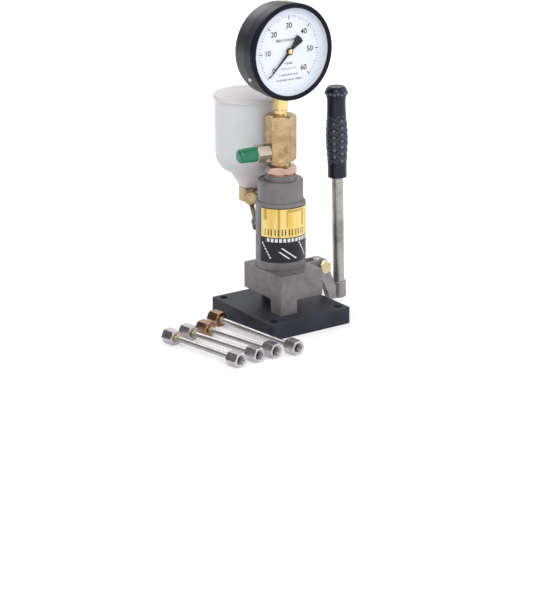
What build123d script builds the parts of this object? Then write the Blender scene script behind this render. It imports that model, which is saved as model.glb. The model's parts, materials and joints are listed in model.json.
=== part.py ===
from build123d import *
import math
import os

# Bench tester for diesel injector nozzles: a hand lever lifts a plunger in a
# standing pump column, oil runs in from a cup behind it, and a dial gauge on a
# brass manifold reads the pressure. Four steel adapter pipes lie beside it.
# Millimetres, +Z up, -Y is the side of the dial, origin on the bench under the
# centre of the pump column.

# Fits and cuts
running_fit = 0.05
clearance = 0.3
overrun = 1.0
bevel = 0.6
hex_chamfer_angle = 30.0

# Base plate
base_width = 104.0
base_depth = 116.0
base_height = 18.0
base_corner_radius = 3.5
base_edge_radius = 1.5
base_hole_diameter = 9.0
base_hole_inset = 10.0

# Screws that hold the housing from under the base
foot_screw_diameter = 8.0
foot_screw_head_diameter = 13.0
foot_screw_head_height = 8.0
foot_screw_reach = 32.0
foot_screw_key = 6.0

# Pump housing: a block on two posts
block_left = 27.6
block_right = 27.6
block_front = 40.6
block_back = 30.3
block_bottom = 33.0
block_top = 61.0
block_edge_radius = 2.0
housing_bore_radius = 18.0
slot_roof = 59.5
front_post_width = 22.0
front_post_depth = 20.6
back_post_left = 5.0
back_post_front = 8.0

# Lever pivot and its ears on the housing
pivot_x = 51.5
pivot_z = 51.0
pivot_radius = 4.0
ear_radius = 7.3
ear_thickness = 3.5

# Lever
lever_thickness = 9.0
hub_radius = 8.5
stroke_angle = 14.0
thrust_pin_radius = 4.0
finger_root_half = 6.0
finger_rise = 2.0
finger_drop = 6.0
finger_nose = 2.0
lever_low = 9.5
web_top = 25.5
arm_outset = 8.5
socket_radius = 8.2
socket_top = 28.0
socket_floor = 3.0

# Lever rod and grip
rod_x = 79.4
rod_lean = 1.6
rod_radius = 6.25
rod_top = 237.0
grip_bottom = 147.3
grip_top = 247.0
grip_foot_radius = 10.4
grip_ankle_radius = 10.3
grip_belly_radius = 11.8
grip_waist_radius = 10.1
grip_throat_radius = 10.5
grip_flange_radius = 12.0
grip_crown_radius = 8.8
ankle_share = 0.1
belly_share = 0.41
waist_share = 0.82
throat_share = 0.875
flange_share = 0.945

# Pivot bolt
pivot_head_flats = 13.0
pivot_head_height = 5.3
pivot_nut_height = 6.5
pivot_washer_thickness = 1.2
pivot_washer_radius = 7.5

# Tappet and its guide
tappet_radius = 12.0
tappet_height = 30.0
tappet_floor = 8.0
tappet_wall = 1.4
guide_radius = 15.0
guide_length = 25.0
guide_inset = 2.0

# Pump column
column_radius = 26.75
column_height = 73.5
column_chamfer = 1.6
column_bore_radius = 14.0
cap_radius = 24.3
cap_height = 27.0
cap_chamfer = 1.0
cap_shoulder_height = 22.4
cap_boss_radius = 17.4
cap_boss_taper = 0.8
cap_spigot_radius = 18.0
cap_spigot_length = 8.0

# Plunger and barrel
plunger_radius = 4.0
plunger_entry = 4.5
plunger_foot_radius = 6.0
plunger_foot_height = 3.0
barrel_radius = 12.0
barrel_length = 54.0
barrel_rise = 13.5

# Return spring
spring_mean_radius = 9.0
spring_wire_radius = 1.1
spring_turns = 7

# Delivery valve, its seat and its spring
seat_radius = 9.5
seat_height = 5.0
seat_bore_radius = 2.4
valve_stem_radius = 1.4
valve_head_radius = 3.6
valve_cone_height = 2.0
valve_body_height = 4.0
valve_stem_length = 2.0
valve_lift = 1.5
valve_spring_mean_radius = 2.5
valve_spring_wire_radius = 0.4
valve_spring_turns = 5

# Label wrapped round the front of the column
label_inset = 9.4
label_height = 59.8
label_thickness = 0.4
label_glue = 0.1
label_wrap = 172.0

# Copper washer and lock nut under the manifold
washer_radius = 15.6
washer_thickness = 1.5
stub_radius = 9.9
lock_nut_flats = 30.0
lock_nut_height = 8.6
lock_nut_turn = -43.0

# Manifold
manifold_flats = 29.4
manifold_neck = 4.9
manifold_height = 49.5
manifold_turn = -35.0
neck_radius = 10.5
valve_chamber_radius = 4.6
valve_chamber_length = 16.0
channel_radius = 1.5
gauge_thread_radius = 6.9
gauge_thread_length = 18.0

# Outlet nipple and dust cap
outlet_rise = 10.0
outlet_turn = -95.0
union_thread_radius = 5.9
nipple_stub_length = 8.0
nipple_flats = 17.0
nipple_hex_length = 16.1
nipple_thread_length = 14.0
dust_cap_length = 20.1
dust_cap_radius = 8.1
dust_cap_end_radius = 7.6
dust_cap_bore_depth = 15.0
dust_cap_end_round = 3.2

# Gauge socket: collar, square, block inside the case
gauge_washer_radius = 8.2
gauge_washer_thickness = 1.0
collar_radius = 7.3
collar_height = 4.0
square_flats = 12.0
socket_block_width = 16.0
socket_block_height = 24.0
socket_block_front = 4.8
socket_block_back = 6.0

# Gauge case, heights along the gauge axis are measured forward of the column axis
gauge_stem = 20.0
case_radius = 49.0
case_wall = 1.5
case_back = -14.0
case_front = 17.5
case_back_round = 4.0
ledge_height = 13.2
ledge_thickness = 1.2
ledge_width = 4.5
relief_plug_radius = 8.0
relief_flange_radius = 10.0
relief_flange_height = 1.6
relief_plug_drop = 22.0

# Bezel, glass and gasket
bezel_wall = 1.6
bezel_front = 22.5
bezel_lip_width = 3.6
bezel_lip_thickness = 1.3
bezel_bevel = 1.4
gasket_width = 3.2
gasket_thickness = 1.7
glass_thickness = 2.0
bezel_screw_height = 9.0
bezel_screw_radius = 1.5
bezel_screw_head_radius = 2.6
bezel_screw_head_height = 1.6
bezel_screw_inner = 2.4
bezel_screw_angles = (90.0, 210.0, 330.0)

# Dial and pointer
dial_clearance = 1.0
dial_thickness = 0.6
pointer_gap = 0.9
pointer_thickness = 0.8
pointer_reach = 35.0
pointer_tail = 20.0
pointer_tip_half = 0.5
pointer_root_half = 1.1
pointer_tail_half = 4.2
pointer_boss_radius = 4.0
pointer_neck_share = 0.45
pointer_wide_share = 0.62
arbor_cap_radius = 2.6
arbor_cap_height = 1.3
pointer_sweep = 270.0

# Gauge movement
plate_thickness = 1.2
back_plate_height = 4.8
front_plate_height = 11.0
plate_width = 26.0
plate_above = 8.0
pillar_radius = 1.8
pillar_inset = 3.2
arbor_radius = 1.0
tooth_pitch_angle = 30.0
pinion_radius = 3.0
gear_ratio = 6.0
gear_bottom = 7.0
gear_thickness = 1.2
tooth_tip = 0.25
tooth_root = 0.4
tooth_half_share = 0.2
sector_hub_radius = 3.0
sector_spread = 55.0
sector_rest_angle = 90.0
sector_arm_half = 2.4
sector_rim = 2.6
tail_radius = 9.0
tail_angle = -10.0
tail_half = 1.5
link_pin_radius = 0.6
link_thickness = 1.0
link_half = 1.2
link_eye_radius = 2.9
link_eye_bore_radius = 1.7
link_eye_short = 0.6
link_eye_lift = 0.5

# Bourdon tube
tube_path_radius = 33.0
tube_width = 9.0
tube_depth = 4.0
tube_wall = 0.8
tube_tip_angle = -25.0
tube_root_angle = 268.0
tip_block_angle = 9.0

# Oil cup behind the column
cup_x = 2.0
cup_y = 58.0
cup_radius = 39.3
cup_wall = 1.6
cup_top = 236.0
cup_round_top = 174.0
cup_round_radius = 35.3
cup_round_z = 161.0
cup_shoulder_radius = 23.5
cup_shoulder_z = 152.5
cup_neck_bottom = 136.0
cup_neck_radius = 13.0
cup_spigot_radius = 7.0
cup_spigot_length = 8.0
cup_drain_radius = 4.0
strainer_radius = 21.0
strainer_thickness = 1.2
strainer_rim = 2.0
strainer_hole_radius = 0.9
strainer_rings = 4
lid_radius = 41.0
lid_skirt = 2.5
lid_plate_edge = 1.8
lid_crown = 3.4
lid_crown_radius_share = 0.9

# Brass fitting under the cup, banjo eye, bolt and washers
fitting_flats = 24.0
fitting_bottom = 119.0
banjo_turn = -35.0
banjo_z = 128.0
banjo_thread_radius = 4.9
banjo_thread_depth = 4.7
seal_washer_radius = 7.2
seal_washer_thickness = 1.2
eye_radius = 7.9
eye_thickness = 8.0
banjo_head_flats = 13.5
banjo_head_height = 5.0

# Feed pipe from the banjo eye to the column
feed_pipe_radius = 2.75
feed_pipe_bore_radius = 1.6
feed_entry_turn = 220.0
feed_entry_rise = 10.0
feed_boss_radius = 5.0
feed_boss_length = 5.0
feed_pipe_seat = 4.5
feed_drill_radius = 1.25

# Adapter pipes with a loose union nut at each end
pipe_radius = 3.0
pipe_bore_radius = 1.4
union_nut_flats = 15.0
union_nut_length = 15.0
union_nut_bore_radius = 5.2
union_nut_back = 3.0
pipe_cone_radius = 4.8
pipe_cone_length = 4.0
pipe_collar_radius = 4.2
pipe_collar_length = 3.0
short_pipe_length = 96.0
long_pipe_length = 121.0

# Places of the pipes' far nuts: how far they lie beyond the base's left side and
# behind the column axis, then the headings from -Y in degrees and the lengths
pipe_places = [(88.2, -2.0), (66.6, -0.5), (45.2, -0.2), (17.7, 19.8)]
pipe_headings = [10.8, 12.2, 11.8, 7.6]
pipe_lengths = [short_pipe_length, short_pipe_length, short_pipe_length, long_pipe_length]

# Sizes that follow from the driving dimensions
finger_length = pivot_x
half_stroke = math.radians(stroke_angle) / 2
finger_tip_x = pivot_x - finger_length * math.cos(half_stroke)
finger_tip_z = pivot_z - finger_length * math.sin(half_stroke)
stroke = 2 * finger_length * math.sin(half_stroke)
tappet_bottom = finger_tip_z + thrust_pin_radius + clearance
tappet_seat = tappet_bottom + tappet_floor
slot_half = lever_thickness / 2 + clearance
ear_outside = slot_half + ear_thickness
column_top = block_top + column_height
cap_top = column_top + cap_height
cap_shoulder = column_top + cap_shoulder_height
label_bottom = block_top + label_inset
label_top = label_bottom + label_height
label_radius = column_radius + label_glue
barrel_top = column_top + barrel_rise
barrel_bottom = barrel_top - barrel_length
plunger_length = barrel_bottom + plunger_entry - tappet_seat
feed_entry_z = barrel_bottom + feed_entry_rise
seat_bottom = barrel_top
seat_top = seat_bottom + seat_height
washer_bottom = cap_top
lock_nut_bottom = washer_bottom + washer_thickness
lock_nut_top = lock_nut_bottom + lock_nut_height
manifold_bottom = lock_nut_top + manifold_neck
manifold_top = manifold_bottom + manifold_height
stub_bottom = seat_top
outlet_z = manifold_bottom + outlet_rise
nipple_start = manifold_flats / 2
nipple_thread_start = nipple_start + nipple_hex_length
nipple_end = nipple_thread_start + nipple_thread_length
socket_bottom = manifold_top + gauge_washer_thickness
square_bottom = socket_bottom + collar_height
gauge_z = manifold_top + gauge_stem + case_radius
ledge_radius = case_radius - ledge_width
bezel_lip_radius = case_radius - bezel_lip_width
gasket_inner_radius = case_radius - gasket_width
gasket_sleeve_radius = case_radius - case_wall - clearance
dial_radius = case_radius - case_wall - dial_clearance
dial_back = ledge_height + ledge_thickness
dial_front = dial_back + dial_thickness
gasket_foot = dial_front + clearance
pointer_back = dial_front + pointer_gap
pointer_front = pointer_back + pointer_thickness
bezel_radius = case_radius + bezel_wall
bezel_back = square_flats / 2 + clearance
glass_back = case_front + gasket_thickness
glass_front = glass_back + glass_thickness
sector_radius = pinion_radius * gear_ratio
sector_pivot_drop = pinion_radius + sector_radius
gear_top = gear_bottom + gear_thickness
link_bottom = gear_top + clearance
link_top = link_bottom + link_thickness
union_nut_rest = union_nut_flats / 2


def level_direction(turn):
    """Level unit vector, turned from -Y about +Z (negative turns go towards -X)."""
    angle = math.radians(turn)
    return Vector(math.sin(angle), -math.cos(angle), 0)


def turned(points, origin=(0, 0, 0), direction=(0, 0, 1), side=(1, 0, 0), arc=360, mode=Mode.ADD):
    """Turn an outline of (radius, height) points about a line through the origin point."""
    radial = Vector(*side)
    along = Vector(*direction)
    with BuildSketch(Plane(origin=origin, x_dir=radial, z_dir=radial.cross(along))) as outline:
        with BuildLine():
            Polyline(*points, close=True)
        make_face()
    revolve(outline.sketch, axis=Axis(origin, direction), revolution_arc=arc, mode=mode)


def bored(radius, low, high, origin=(0, 0, 0), direction=(0, 0, 1), side=(1, 0, 0)):
    """Cut a straight round hole from low to high along a line."""
    turned([(0, low), (radius, low), (radius, high), (0, high)], origin, direction, side, mode=Mode.SUBTRACT)


def hexagon(flats, low, high, origin=(0, 0, 0), direction=(0, 0, 1), side=(1, 0, 0)):
    """Extrude a hexagon with one flat facing the side direction."""
    frame = Plane(origin=origin, x_dir=side, z_dir=direction)
    with BuildSketch(frame.offset(low)) as outline:
        RegularPolygon(flats / 2, 6, major_radius=False, rotation=30)
    extrude(outline.sketch, amount=high - low)


def hex_chamfer(flats, low, high, origin=(0, 0, 0), direction=(0, 0, 1), side=(1, 0, 0)):
    """Round off the corners of a hexagon at its ends, as a turned chamfer does."""
    corner = flats / math.sqrt(3)
    rim = flats / 2 - bevel / 2
    drop = (corner - rim) * math.tan(math.radians(hex_chamfer_angle))
    outer = corner + bevel
    low_end = [(0, low), (rim, low), (corner, low + drop), (outer, low + drop)]
    high_end = [(outer, high - drop), (corner, high - drop), (rim, high), (0, high)]
    turned(low_end + high_end, origin, direction, side, mode=Mode.INTERSECT)


def helix_point(radius, pitch, turns):
    """Place and direction on a helix after a number of turns from its start."""
    angle = 2 * math.pi * turns
    place = Vector(radius * math.cos(angle), radius * math.sin(angle), pitch * turns)
    heading = Vector(-radius * math.sin(angle), radius * math.cos(angle), pitch / (2 * math.pi))
    return place, heading.normalized()


def coil_path(radius, wire_radius, bottom, top, turns):
    """Draw a coil as pairs of arcs, two for each quarter turn, with a straight stub at each end."""
    stub = 2 * wire_radius
    rise = top - bottom - 2 * wire_radius
    pitch = rise / (turns + 2 * stub / (2 * math.pi * radius))
    start, heading = helix_point(radius, pitch, 0)
    shift = Vector(0, 0, bottom + wire_radius + stub * heading.Z - start.Z)
    Line(start + shift - heading * stub, start + shift)
    for quarter in range(4 * turns):
        first, first_way = helix_point(radius, pitch, quarter / 4)
        last, last_way = helix_point(radius, pitch, (quarter + 1) / 4)
        chord = last - first
        ways = first_way + last_way
        square = ways.dot(ways) - 4
        reach = (chord.dot(ways) - math.sqrt(chord.dot(ways) ** 2 - square * chord.dot(chord))) / square
        middle = (first + first_way * reach + last - last_way * reach) / 2 + shift
        half_way = (last - last_way * reach - first - first_way * reach).normalized()
        TangentArc(first + shift, middle, tangent=first_way)
        TangentArc(middle, last + shift, tangent=half_way)
    end, end_way = helix_point(radius, pitch, turns)
    Line(end + shift, end + shift + end_way * stub)
    print("coil of", turns, "turns, pitch", round(pitch, 2), "least gap", round(pitch - 2 * wire_radius, 2))
    return Plane(origin=start + shift - heading * stub, z_dir=heading)


def finish(part, name):
    """Label a finished piece and write it under its own name."""
    part.label = name
    export_step(part, "parts/" + name + ".step")


os.makedirs("parts", exist_ok=True)

# Base plate with four bench holes, counterbored from below for the housing's screws
hole_x = base_width / 2 - base_hole_inset
hole_y = base_depth / 2 - base_hole_inset
front_post_x = -block_left + front_post_width / 2
front_post_y = -block_front + front_post_depth / 2
back_post_y = (back_post_front + block_back) / 2
back_screw_reach = (block_right + back_post_left) / 4
back_post_x = (block_right - back_post_left) / 2
screw_places = [
    (front_post_x, front_post_y),
    (back_post_x - back_screw_reach, back_post_y),
    (back_post_x + back_screw_reach, back_post_y),
]
with BuildPart() as base_plate:
    with BuildSketch():
        RectangleRounded(base_width, base_depth, base_corner_radius)
    extrude(amount=base_height)
    fillet(base_plate.faces().sort_by(Axis.Z)[-1].edges(), base_edge_radius)
    with BuildSketch(Plane.XY):
        with GridLocations(2 * hole_x, 2 * hole_y, 2, 2):
            Circle(base_hole_diameter / 2)
    extrude(amount=base_height, mode=Mode.SUBTRACT)
    with BuildSketch(Plane.XY):
        with Locations(*screw_places):
            Circle(foot_screw_diameter / 2)
    extrude(amount=base_height, mode=Mode.SUBTRACT)
    with BuildSketch(Plane.XY):
        with Locations(*screw_places):
            Circle(foot_screw_head_diameter / 2 + clearance)
    extrude(amount=foot_screw_head_height + bevel, mode=Mode.SUBTRACT)
finish(base_plate.part, "base_plate")

# Socket-head screws, one under the front post and two under the back post
with BuildPart() as foot_screws:
    with BuildSketch(Plane.XY.offset(bevel)):
        with Locations(*screw_places):
            Circle(foot_screw_head_diameter / 2)
            RegularPolygon(foot_screw_key / 2, 6, major_radius=False, mode=Mode.SUBTRACT)
    extrude(amount=foot_screw_head_height / 2)
    with BuildSketch(Plane.XY.offset(bevel + foot_screw_head_height / 2)):
        with Locations(*screw_places):
            Circle(foot_screw_head_diameter / 2)
    extrude(amount=foot_screw_head_height / 2)
    with BuildSketch(Plane.XY.offset(bevel + foot_screw_head_height)):
        with Locations(*screw_places):
            Circle(foot_screw_diameter / 2)
    extrude(amount=foot_screw_reach - foot_screw_head_height)
finish(foot_screws.part, "foot_screws")

# Pump housing: block, two posts, two pivot ears, a slot for the lever's finger
block_width = block_left + block_right
block_depth = block_front + block_back
block_x = (block_right - block_left) / 2
block_y = (block_back - block_front) / 2
ear_low = pivot_z - ear_radius
with BuildPart() as pump_housing:
    with BuildSketch(Plane.XY.offset(block_bottom)):
        with Locations((block_x, block_y)):
            RectangleRounded(block_width, block_depth, block_edge_radius)
    extrude(amount=block_top - block_bottom)
    with BuildSketch(Plane.XY.offset(base_height)):
        with Locations((front_post_x, front_post_y)):
            RectangleRounded(front_post_width, front_post_depth, block_edge_radius)
        with Locations((back_post_x, back_post_y)):
            RectangleRounded(block_right + back_post_left, block_back - back_post_front, block_edge_radius)
    extrude(amount=block_bottom - base_height + block_edge_radius)
    with BuildSketch(Plane.XZ):
        with Locations((pivot_x, pivot_z)):
            Circle(ear_radius)
        with BuildLine():
            Polyline(
                (block_right - block_edge_radius, block_bottom),
                (block_right + block_edge_radius, block_bottom),
                (pivot_x + ear_radius / 2, ear_low + ear_radius / 8),
                (pivot_x, pivot_z + ear_radius),
                (block_right - block_edge_radius, block_top - block_edge_radius),
                close=True,
            )
        make_face()
    extrude(amount=ear_outside, both=True)
    with BuildSketch(Plane.XZ):
        with BuildLine():
            Polyline(
                (0, block_bottom - overrun),
                (pivot_x + hub_radius, block_bottom - overrun),
                (pivot_x + hub_radius, block_top + overrun),
                (block_right, block_top + overrun),
                (block_right, slot_roof),
                (0, slot_roof),
                close=True,
            )
        make_face()
    extrude(amount=slot_half, both=True, mode=Mode.SUBTRACT)
    bored(housing_bore_radius, block_bottom - overrun, block_top + overrun)
    bored(pivot_radius, -ear_outside - overrun, ear_outside + overrun, (pivot_x, 0, pivot_z), (0, 1, 0))
    with BuildSketch(Plane.XY.offset(base_height)):
        with Locations(*screw_places):
            Circle(foot_screw_diameter / 2)
    extrude(amount=foot_screw_reach + bevel - base_height, mode=Mode.SUBTRACT)
finish(pump_housing.part, "pump_housing")

# Pivot bolt with a hexagon head at the front, nut and washer at the back
with BuildPart() as pivot_bolt:
    bolt_frame = ((pivot_x, 0, pivot_z), (0, 1, 0))
    head_back = -ear_outside
    head_front = head_back - pivot_head_height
    hexagon(pivot_head_flats, head_front, head_back, *bolt_frame)
    hex_chamfer(pivot_head_flats, head_front, head_back, *bolt_frame)
    bolt_end = ear_outside + pivot_washer_thickness + pivot_nut_height + 2 * bevel
    turned(
        [
            (0, head_back - bevel),
            (pivot_radius, head_back - bevel),
            (pivot_radius, bolt_end - bevel),
            (pivot_radius - bevel, bolt_end),
            (0, bolt_end),
        ],
        *bolt_frame,
    )
finish(pivot_bolt.part, "pivot_bolt")

with BuildPart() as pivot_nut:
    nut_low = ear_outside + pivot_washer_thickness
    hexagon(pivot_head_flats, nut_low, nut_low + pivot_nut_height, *bolt_frame)
    hex_chamfer(pivot_head_flats, nut_low, nut_low + pivot_nut_height, *bolt_frame)
    turned(
        [
            (0, ear_outside),
            (pivot_washer_radius, ear_outside),
            (pivot_washer_radius, nut_low),
            (0, nut_low),
        ],
        *bolt_frame,
    )
    bored(pivot_radius, ear_outside - overrun, nut_low + pivot_nut_height + overrun, *bolt_frame)
finish(pivot_nut.part, "pivot_nut")

# Rod line: it leans a little towards the column
rod_origin = Vector(rod_x, 0, 0)
rod_way = Vector(0, 0, 1).rotate(Axis.Y, -rod_lean)
rod_side = Vector(1, 0, 0).rotate(Axis.Y, -rod_lean)
rod_frame = (rod_origin, rod_way, rod_side)

# Lever: hub on the bolt, finger under the tappet, arm round the base's side to the rod's socket
arm_low_x = base_width / 2 + arm_outset + bevel * 5
finger_nose_x = finger_tip_x - thrust_pin_radius - finger_nose


def finger_line(x):
    """Height of the finger's middle line at a distance x from the column axis, at rest."""
    return pivot_z - (pivot_x - x) * math.tan(half_stroke)


with BuildPart() as pump_lever:
    with BuildSketch(Plane.XZ) as lever_outline:
        with Locations((pivot_x, pivot_z)):
            Circle(hub_radius)
        with BuildLine():
            Polyline(
                (pivot_x, pivot_z + finger_root_half),
                (guide_radius, finger_line(guide_radius) + finger_rise),
                (finger_nose_x, finger_line(finger_nose_x) + finger_rise),
                (finger_nose_x, finger_line(finger_nose_x) - finger_drop),
                (pivot_x, pivot_z - finger_root_half),
                close=True,
            )
        make_face()
        with BuildLine():
            Polyline(
                (pivot_x - hub_radius / 2, pivot_z - hub_radius / 2),
                (base_width / 2 + arm_outset, base_height + 2 * bevel),
                (arm_low_x, lever_low),
                (rod_x, lever_low),
                (rod_x, web_top),
                (rod_x - socket_radius - bevel, web_top),
                (pivot_x + hub_radius, pivot_z),
                close=True,
            )
        make_face()
        fillet(lever_outline.vertices().sort_by(Axis.Z)[:2], base_corner_radius / 2)
    extrude(amount=lever_thickness / 2, both=True)
    turned(
        [
            (0, lever_low),
            (socket_radius - bevel * 2, lever_low),
            (socket_radius, lever_low + bevel * 2),
            (socket_radius, socket_top - bevel),
            (socket_radius - bevel, socket_top),
            (0, socket_top),
        ],
        *rod_frame,
    )
    bored(rod_radius, lever_low + socket_floor, socket_top + overrun, *rod_frame)
    bored(pivot_radius + running_fit, -lever_thickness, lever_thickness, (pivot_x, 0, pivot_z), (0, 1, 0))
    bored(thrust_pin_radius, -lever_thickness, lever_thickness, (finger_tip_x, 0, finger_tip_z), (0, 1, 0))
finish(pump_lever.part, "pump_lever")

with BuildPart() as thrust_pin:
    turned(
        [
            (0, -lever_thickness / 2),
            (thrust_pin_radius - bevel, -lever_thickness / 2),
            (thrust_pin_radius, bevel - lever_thickness / 2),
            (thrust_pin_radius, lever_thickness / 2 - bevel),
            (thrust_pin_radius - bevel, lever_thickness / 2),
            (0, lever_thickness / 2),
        ],
        (finger_tip_x, 0, finger_tip_z),
        (0, 1, 0),
    )
finish(thrust_pin.part, "thrust_pin")

# Steel rod in the lever's socket and the rubber grip on it
with BuildPart() as lever_rod:
    turned(
        [
            (0, lever_low + socket_floor),
            (rod_radius, lever_low + socket_floor),
            (rod_radius, rod_top - bevel),
            (rod_radius - bevel, rod_top),
            (0, rod_top),
        ],
        *rod_frame,
    )
finish(lever_rod.part, "lever_rod")

grip_length = grip_top - grip_bottom
with BuildPart() as handle_grip:
    with BuildSketch(Plane(origin=rod_origin, x_dir=rod_side, z_dir=rod_side.cross(rod_way))):
        with BuildLine():
            foot = (grip_foot_radius, grip_bottom)
            ankle = (grip_ankle_radius, grip_bottom + ankle_share * grip_length)
            belly = (grip_belly_radius, grip_bottom + belly_share * grip_length)
            waist = (grip_waist_radius, grip_bottom + waist_share * grip_length)
            throat = (grip_throat_radius, grip_bottom + throat_share * grip_length)
            flange = (grip_flange_radius, grip_bottom + flange_share * grip_length)
            shoulder = (grip_crown_radius + bevel, grip_top - bevel)
            crown = (grip_crown_radius, grip_top)
            Line((rod_radius, grip_bottom), foot)
            Spline(foot, ankle, belly, waist, tangents=((0, 1), (0, 1)))
            Spline(waist, throat, flange, shoulder, tangents=((0, 1), (-1, 1)))
            Line(shoulder, crown)
            Line(crown, (0, grip_top))
            Line((0, grip_top), (0, rod_top))
            Line((0, rod_top), (rod_radius, rod_top))
            Line((rod_radius, rod_top), (rod_radius, grip_bottom))
        make_face()
    revolve(axis=Axis(rod_origin, rod_way))
finish(handle_grip.part, "handle_grip")

# Tappet: a hardened cup that the lever's finger lifts, in a bronze guide
tappet_top = tappet_bottom + tappet_height
tappet_bore_radius = tappet_radius - tappet_wall
with BuildPart() as tappet:
    turned(
        [
            (0, tappet_bottom),
            (tappet_radius - bevel, tappet_bottom),
            (tappet_radius, tappet_bottom + bevel),
            (tappet_radius, tappet_top),
            (tappet_bore_radius, tappet_top),
            (tappet_bore_radius, tappet_seat),
            (0, tappet_seat),
        ]
    )
finish(tappet.part, "tappet")

guide_bottom = block_top + guide_inset
guide_top = guide_bottom + guide_length
with BuildPart() as tappet_guide:
    turned(
        [
            (tappet_radius + running_fit, guide_bottom),
            (guide_radius, guide_bottom),
            (guide_radius, guide_top),
            (tappet_radius + running_fit, guide_top),
        ]
    )
finish(tappet_guide.part, "tappet_guide")

# Return spring between the tappet's floor and the barrel
with BuildPart() as return_spring:
    with BuildLine() as spring_line:
        spring_start = coil_path(
            spring_mean_radius, spring_wire_radius, tappet_seat, barrel_bottom, spring_turns
        )
    with BuildSketch(spring_start):
        Circle(spring_wire_radius)
    sweep(path=spring_line.wires()[0])
finish(return_spring.part, "return_spring")

# Plunger standing in the tappet, running in the barrel
plunger_top = tappet_seat + plunger_length
with BuildPart() as plunger:
    turned(
        [
            (0, tappet_seat),
            (plunger_foot_radius, tappet_seat),
            (plunger_foot_radius, tappet_seat + plunger_foot_height),
            (plunger_radius, tappet_seat + plunger_foot_height),
            (plunger_radius, plunger_top),
            (0, plunger_top),
        ]
    )
finish(plunger.part, "plunger")

# Feed pipe line: from the banjo eye under the cup to a boss on the column's back
banjo_way = level_direction(banjo_turn)
eye_near = fitting_flats / 2 + seal_washer_thickness
eye_middle = eye_near + eye_thickness / 2
eye_centre = Vector(cup_x, cup_y, banjo_z) + banjo_way * eye_middle
feed_start = eye_centre - Vector(0, 0, eye_radius)
entry_way = level_direction(feed_entry_turn)
feed_entry = entry_way * column_radius + Vector(0, 0, feed_entry_z)
feed_way = (feed_entry - feed_start).normalized()
feed_side = feed_way.cross(Vector(0, 0, 1)).normalized()
feed_span = (feed_entry - feed_start).length
feed_seat = feed_span + feed_pipe_seat
feed_frame = (feed_start, feed_way, feed_side)
port_start = feed_start + feed_way * (feed_seat - feed_pipe_radius)
port_z = port_start.Z
port_way = Vector(port_start.X, port_start.Y, 0).normalized()
port_reach = Vector(port_start.X, port_start.Y, 0).length
print("feed port at", round(port_z, 2), "plunger top at", round(plunger_top, 2), "stroke", round(stroke, 3))

# Barrel: a thick sleeve for the plunger, with the feed port
with BuildPart() as pump_barrel:
    turned(
        [
            (plunger_radius + running_fit, barrel_bottom),
            (barrel_radius, barrel_bottom),
            (barrel_radius, barrel_top),
            (plunger_radius + running_fit, barrel_top),
        ]
    )
    bored(feed_drill_radius, 0, barrel_radius + overrun, (0, 0, port_z), port_way, (0, 0, 1))
finish(pump_barrel.part, "pump_barrel")

# Pump column, bored for the guide, the spring and the barrel, with a boss for the feed pipe
spigot_bottom = column_top - cap_spigot_length
with BuildPart() as pump_column:
    turned(
        [
            (0, block_top),
            (column_radius, block_top),
            (column_radius, column_top - column_chamfer),
            (column_radius - column_chamfer, column_top),
            (0, column_top),
        ]
    )
    turned(
        [
            (0, feed_span - feed_boss_length),
            (feed_boss_radius, feed_span - feed_boss_length),
            (feed_boss_radius, feed_seat),
            (0, feed_seat),
        ],
        *feed_frame,
    )
    bored(guide_radius, block_top - overrun, guide_top)
    bored(column_bore_radius, guide_top - overrun, barrel_bottom)
    bored(barrel_radius, barrel_bottom - overrun, column_top + overrun)
    bored(cap_spigot_radius, spigot_bottom, column_top + overrun)
    bored(feed_pipe_radius, feed_span - 2 * feed_boss_length, feed_seat, *feed_frame)
    bored(feed_drill_radius, 0, port_reach, (0, 0, port_z), port_way, (0, 0, 1))
finish(pump_column.part, "pump_column")

# Column cap, let into the top of the column, threaded for the manifold's stub
with BuildPart() as column_cap:
    turned(
        [
            (barrel_radius, spigot_bottom),
            (cap_spigot_radius, spigot_bottom),
            (cap_spigot_radius, column_top),
            (cap_radius, column_top),
            (cap_radius, cap_shoulder - cap_chamfer),
            (cap_radius - cap_chamfer, cap_shoulder),
            (cap_boss_radius, cap_shoulder),
            (cap_boss_radius - cap_boss_taper, cap_top),
            (stub_radius, cap_top),
            (stub_radius, seat_top),
            (seat_radius, seat_top),
            (seat_radius, seat_bottom),
            (barrel_radius, seat_bottom),
        ]
    )
finish(column_cap.part, "column_cap")

# Label: a thin sheet round the front of the column
with BuildPart() as column_label:
    label_start = level_direction(-label_wrap / 2)
    turned(
        [
            (label_radius, label_bottom),
            (label_radius + label_thickness, label_bottom),
            (label_radius + label_thickness, label_top),
            (label_radius, label_top),
        ],
        side=label_start,
        arc=label_wrap,
    )
finish(column_label.part, "column_label")

# Delivery valve on its seat in the manifold's stub, with its spring
valve_head_bottom = seat_top
valve_head_top = valve_head_bottom + valve_cone_height + valve_body_height
chamber_top = stub_bottom + valve_chamber_length
with BuildPart() as valve_seat:
    turned(
        [
            (seat_bore_radius, seat_bottom),
            (seat_radius, seat_bottom),
            (seat_radius, seat_top),
            (valve_head_radius, seat_top),
            (seat_bore_radius, seat_top - valve_cone_height),
        ]
    )
finish(valve_seat.part, "valve_seat")

with BuildPart() as delivery_valve:
    turned(
        [
            (0, seat_top - valve_cone_height - valve_stem_length),
            (valve_stem_radius, seat_top - valve_cone_height - valve_stem_length),
            (valve_stem_radius, seat_top - valve_cone_height + running_fit),
            (valve_head_radius - running_fit, seat_top + running_fit),
            (valve_head_radius - running_fit, valve_head_top),
            (valve_stem_radius, valve_head_top),
            (valve_stem_radius, valve_head_top + valve_stem_length),
            (0, valve_head_top + valve_stem_length),
        ]
    )
finish(delivery_valve.part, "delivery_valve")

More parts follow.
